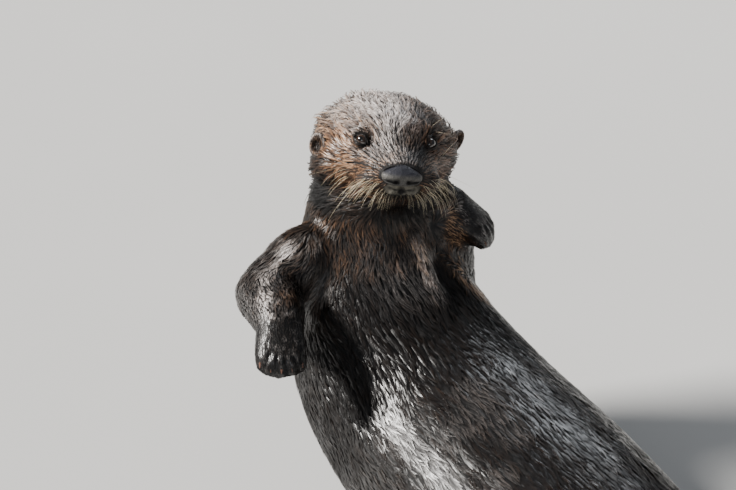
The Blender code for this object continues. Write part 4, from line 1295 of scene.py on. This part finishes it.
# ---- stage ----
AIM = Vector((0.0, 0.431, 0.254))
AZIMUTH, ELEVATION, DISTANCE = -30.0, 35.0, 3.0
LENS, SENSOR = 146.0, 36.0
LAMP_AIM = Vector((0, 0.35, 0.25))
SUN_WAY, SUN_POWER, SUN_ANGLE, SUN_COLOUR = Vector((-0.66, 0.42, 0.62)), 8.0, 13, (1.0, 0.965, 0.92)
LAMPS = {  # place, size, power and colour
    "window": ((-1.6, -2.0, 2.0), 1.6, 12, (0.93, 0.96, 1.0)),
    "rim": ((1.8, 1.9, 1.5), 1.0, 12, (0.90, 0.95, 1.0)),
}
SKY, SKY_POWER = (0.86, 0.90, 0.96, 1), 0.19
FLOOR_SIZE = 30.0


def facing_back(way):
    return way.to_track_quat("Z", "Y").to_euler()


def add_camera():
    a, e = math.radians(AZIMUTH), math.radians(ELEVATION)
    back = Vector((math.sin(a) * math.cos(e), -math.cos(a) * math.cos(e), math.sin(e)))
    camera = new_object("camera", bpy.data.cameras.new("camera"))
    camera.data.lens, camera.data.sensor_width = LENS, SENSOR
    camera.data.clip_start, camera.data.clip_end = 0.05, 50.0
    camera.location = AIM + back * DISTANCE
    camera.rotation_euler = facing_back(back)
    bpy.context.scene.camera = camera


def add_stage():
    bm = bmesh.new()
    bmesh.ops.create_grid(bm, x_segments=1, y_segments=1, size=FLOOR_SIZE)
    floor = new_object("floor", mesh_from(bm, "floor"))
    floor.data.materials.append(floor_material())
    sun = bpy.data.lights.new("key", "SUN")
    sun.energy, sun.angle, sun.color = SUN_POWER, math.radians(SUN_ANGLE), SUN_COLOUR
    new_object("key", sun).rotation_euler = facing_back(SUN_WAY)
    for name, (place, size, power, colour) in LAMPS.items():
        light = bpy.data.lights.new(name, "AREA")
        light.shape = "DISK"
        light.size, light.energy, light.color = size, power, colour
        lamp = new_object(name, light)
        lamp.location = place
        lamp.rotation_euler = facing_back(Vector(place) - LAMP_AIM)
    world = bpy.data.worlds.new("studio")
    world.use_nodes = True
    feed(world.node_tree, world.node_tree.nodes["Background"], {"Color": SKY, "Strength": SKY_POWER})
    bpy.context.scene.world = world


def near_ears(points, reach):
    """True within reach millimetres of the ears, where no fur of the head grows."""
    near = np.zeros(len(points), bool)
    for side in SIDES:
        ear, faces, _ = solid_arrays(f"ear_{side}")
        tree = BVHTree.FromPolygons(ear.tolist(), faces.tolist())
        for i in np.flatnonzero(away_from(points, spot(f"ear_{side}")) < 0.030):
            place, normal, _, distance = tree.find_nearest(points[i].tolist())
            near[i] |= distance < reach * MM or (points[i] - np.array(place)) @ np.array(normal) < 0
    return near


def main():
    add_camera()
    skin_obj, co, tris, edges, names, fields, near_face, frames = make_skin()
    flow = soften_values(coat_flow(co, names), edges, 16)
    skin = Surface(skin_obj, co, tris, fields, flow, markings(co, fields, names, frames))
    skin.near_face, skin.eye_measure = near_face, eye_distance(co, frames)
    skin.lips, crease_shade = lip_marks(in_head(co))
    write_colour(skin_obj.data, "markings", skin.marks)
    # the skin between the tufts gets a very dark tone and no tip: painted shade in the gaps of the coat
    under_tufts = np.tile((0.0, 0.12), (len(co), 1))
    write_colour(skin_obj.data, "tuft", np.column_stack([under_tufts, skin.lips * (1 - crease_shade)]))
    shade(skin_obj, SKIN_FUR)
    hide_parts(*FLESH_NODES)
    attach(skin_obj, "root")
    print("skin", len(tris), "triangles")
    middles = co[tris].mean(1)
    local = in_head(middles)
    x, y, z = local.T
    of_tri = names[tris[:, 0]]
    bare = (skin.lips[tris].min(1) > 0.35) | (skin.eye_measure[tris].max(1) < 1.25)
    bare |= (nose_reach(local) < 1.02) | near_ears(middles, 0.8)
    head = (of_tri == "head") & ~bare
    loose = head & (x < 0.045) & ~near_ears(middles, 7.0)

    def parts(*kinds):
        return np.any([np.char.startswith(of_tri, kind) for kind in kinds], axis=0)

    hair, body = dict(pull=0.85, curl=0.20), dict(pull=0.45)
    locks = dict(pull=0.9, curl=0.30, gap=3.0, long=1.8, wide=1.5, lift=1.9)
    foot = dict(pull=0.2, curl=0.08)
    coats = (  # name, where, slot, seed, rings, clump in millimetres and the rest
        ("coat_face", head & (x > 0.030), "head_fur", 100, 3, 5.0, hair),
        ("coat_crown", head & (x <= 0.030) & (z > 0.004), "head_fur", 101, 3, 7.5, hair),
        ("coat_cheeks", head & (x <= 0.030) & (z <= 0.004), "head_fur", 102, 3, 8.0, hair),
        ("coat_locks", loose, "head_fur", 120, 3, 8.0, locks),
        ("coat_neck", parts("neck"), "fur", 200, 3, 6.0, body),
        ("coat_arms", parts("upper_arm", "forearm"), "fur", 201, 3, 5.0, body),
        ("coat_chest", parts("chest"), "fur", 202, 2, 8.0, body),
        ("coat_belly", parts("belly"), "fur", 203, 2, 9.0, body),
        ("coat_hips", parts("hips", "tail"), "fur", 204, 2, 9.0, body),
        ("coat_legs", parts("thigh", "shank"), "fur", 205, 2, 7.0, body),
        ("coat_forepaws", parts("forepaw"), "paw_fur", 300, 2, 4.0, foot),
        ("coat_flippers", parts("hind_flipper"), "paw_fur", 301, 2, 4.0, foot),
    )
    for name, where, slot, seed, rings, clump, how in coats:
        make_coat(name, skin, where, slot, seed, rings, clump, **how)
    make_eyes(frames)
    make_nose()
    make_ears()
    make_whiskers(skin)
    finish_claws()
    add_stage()


main()
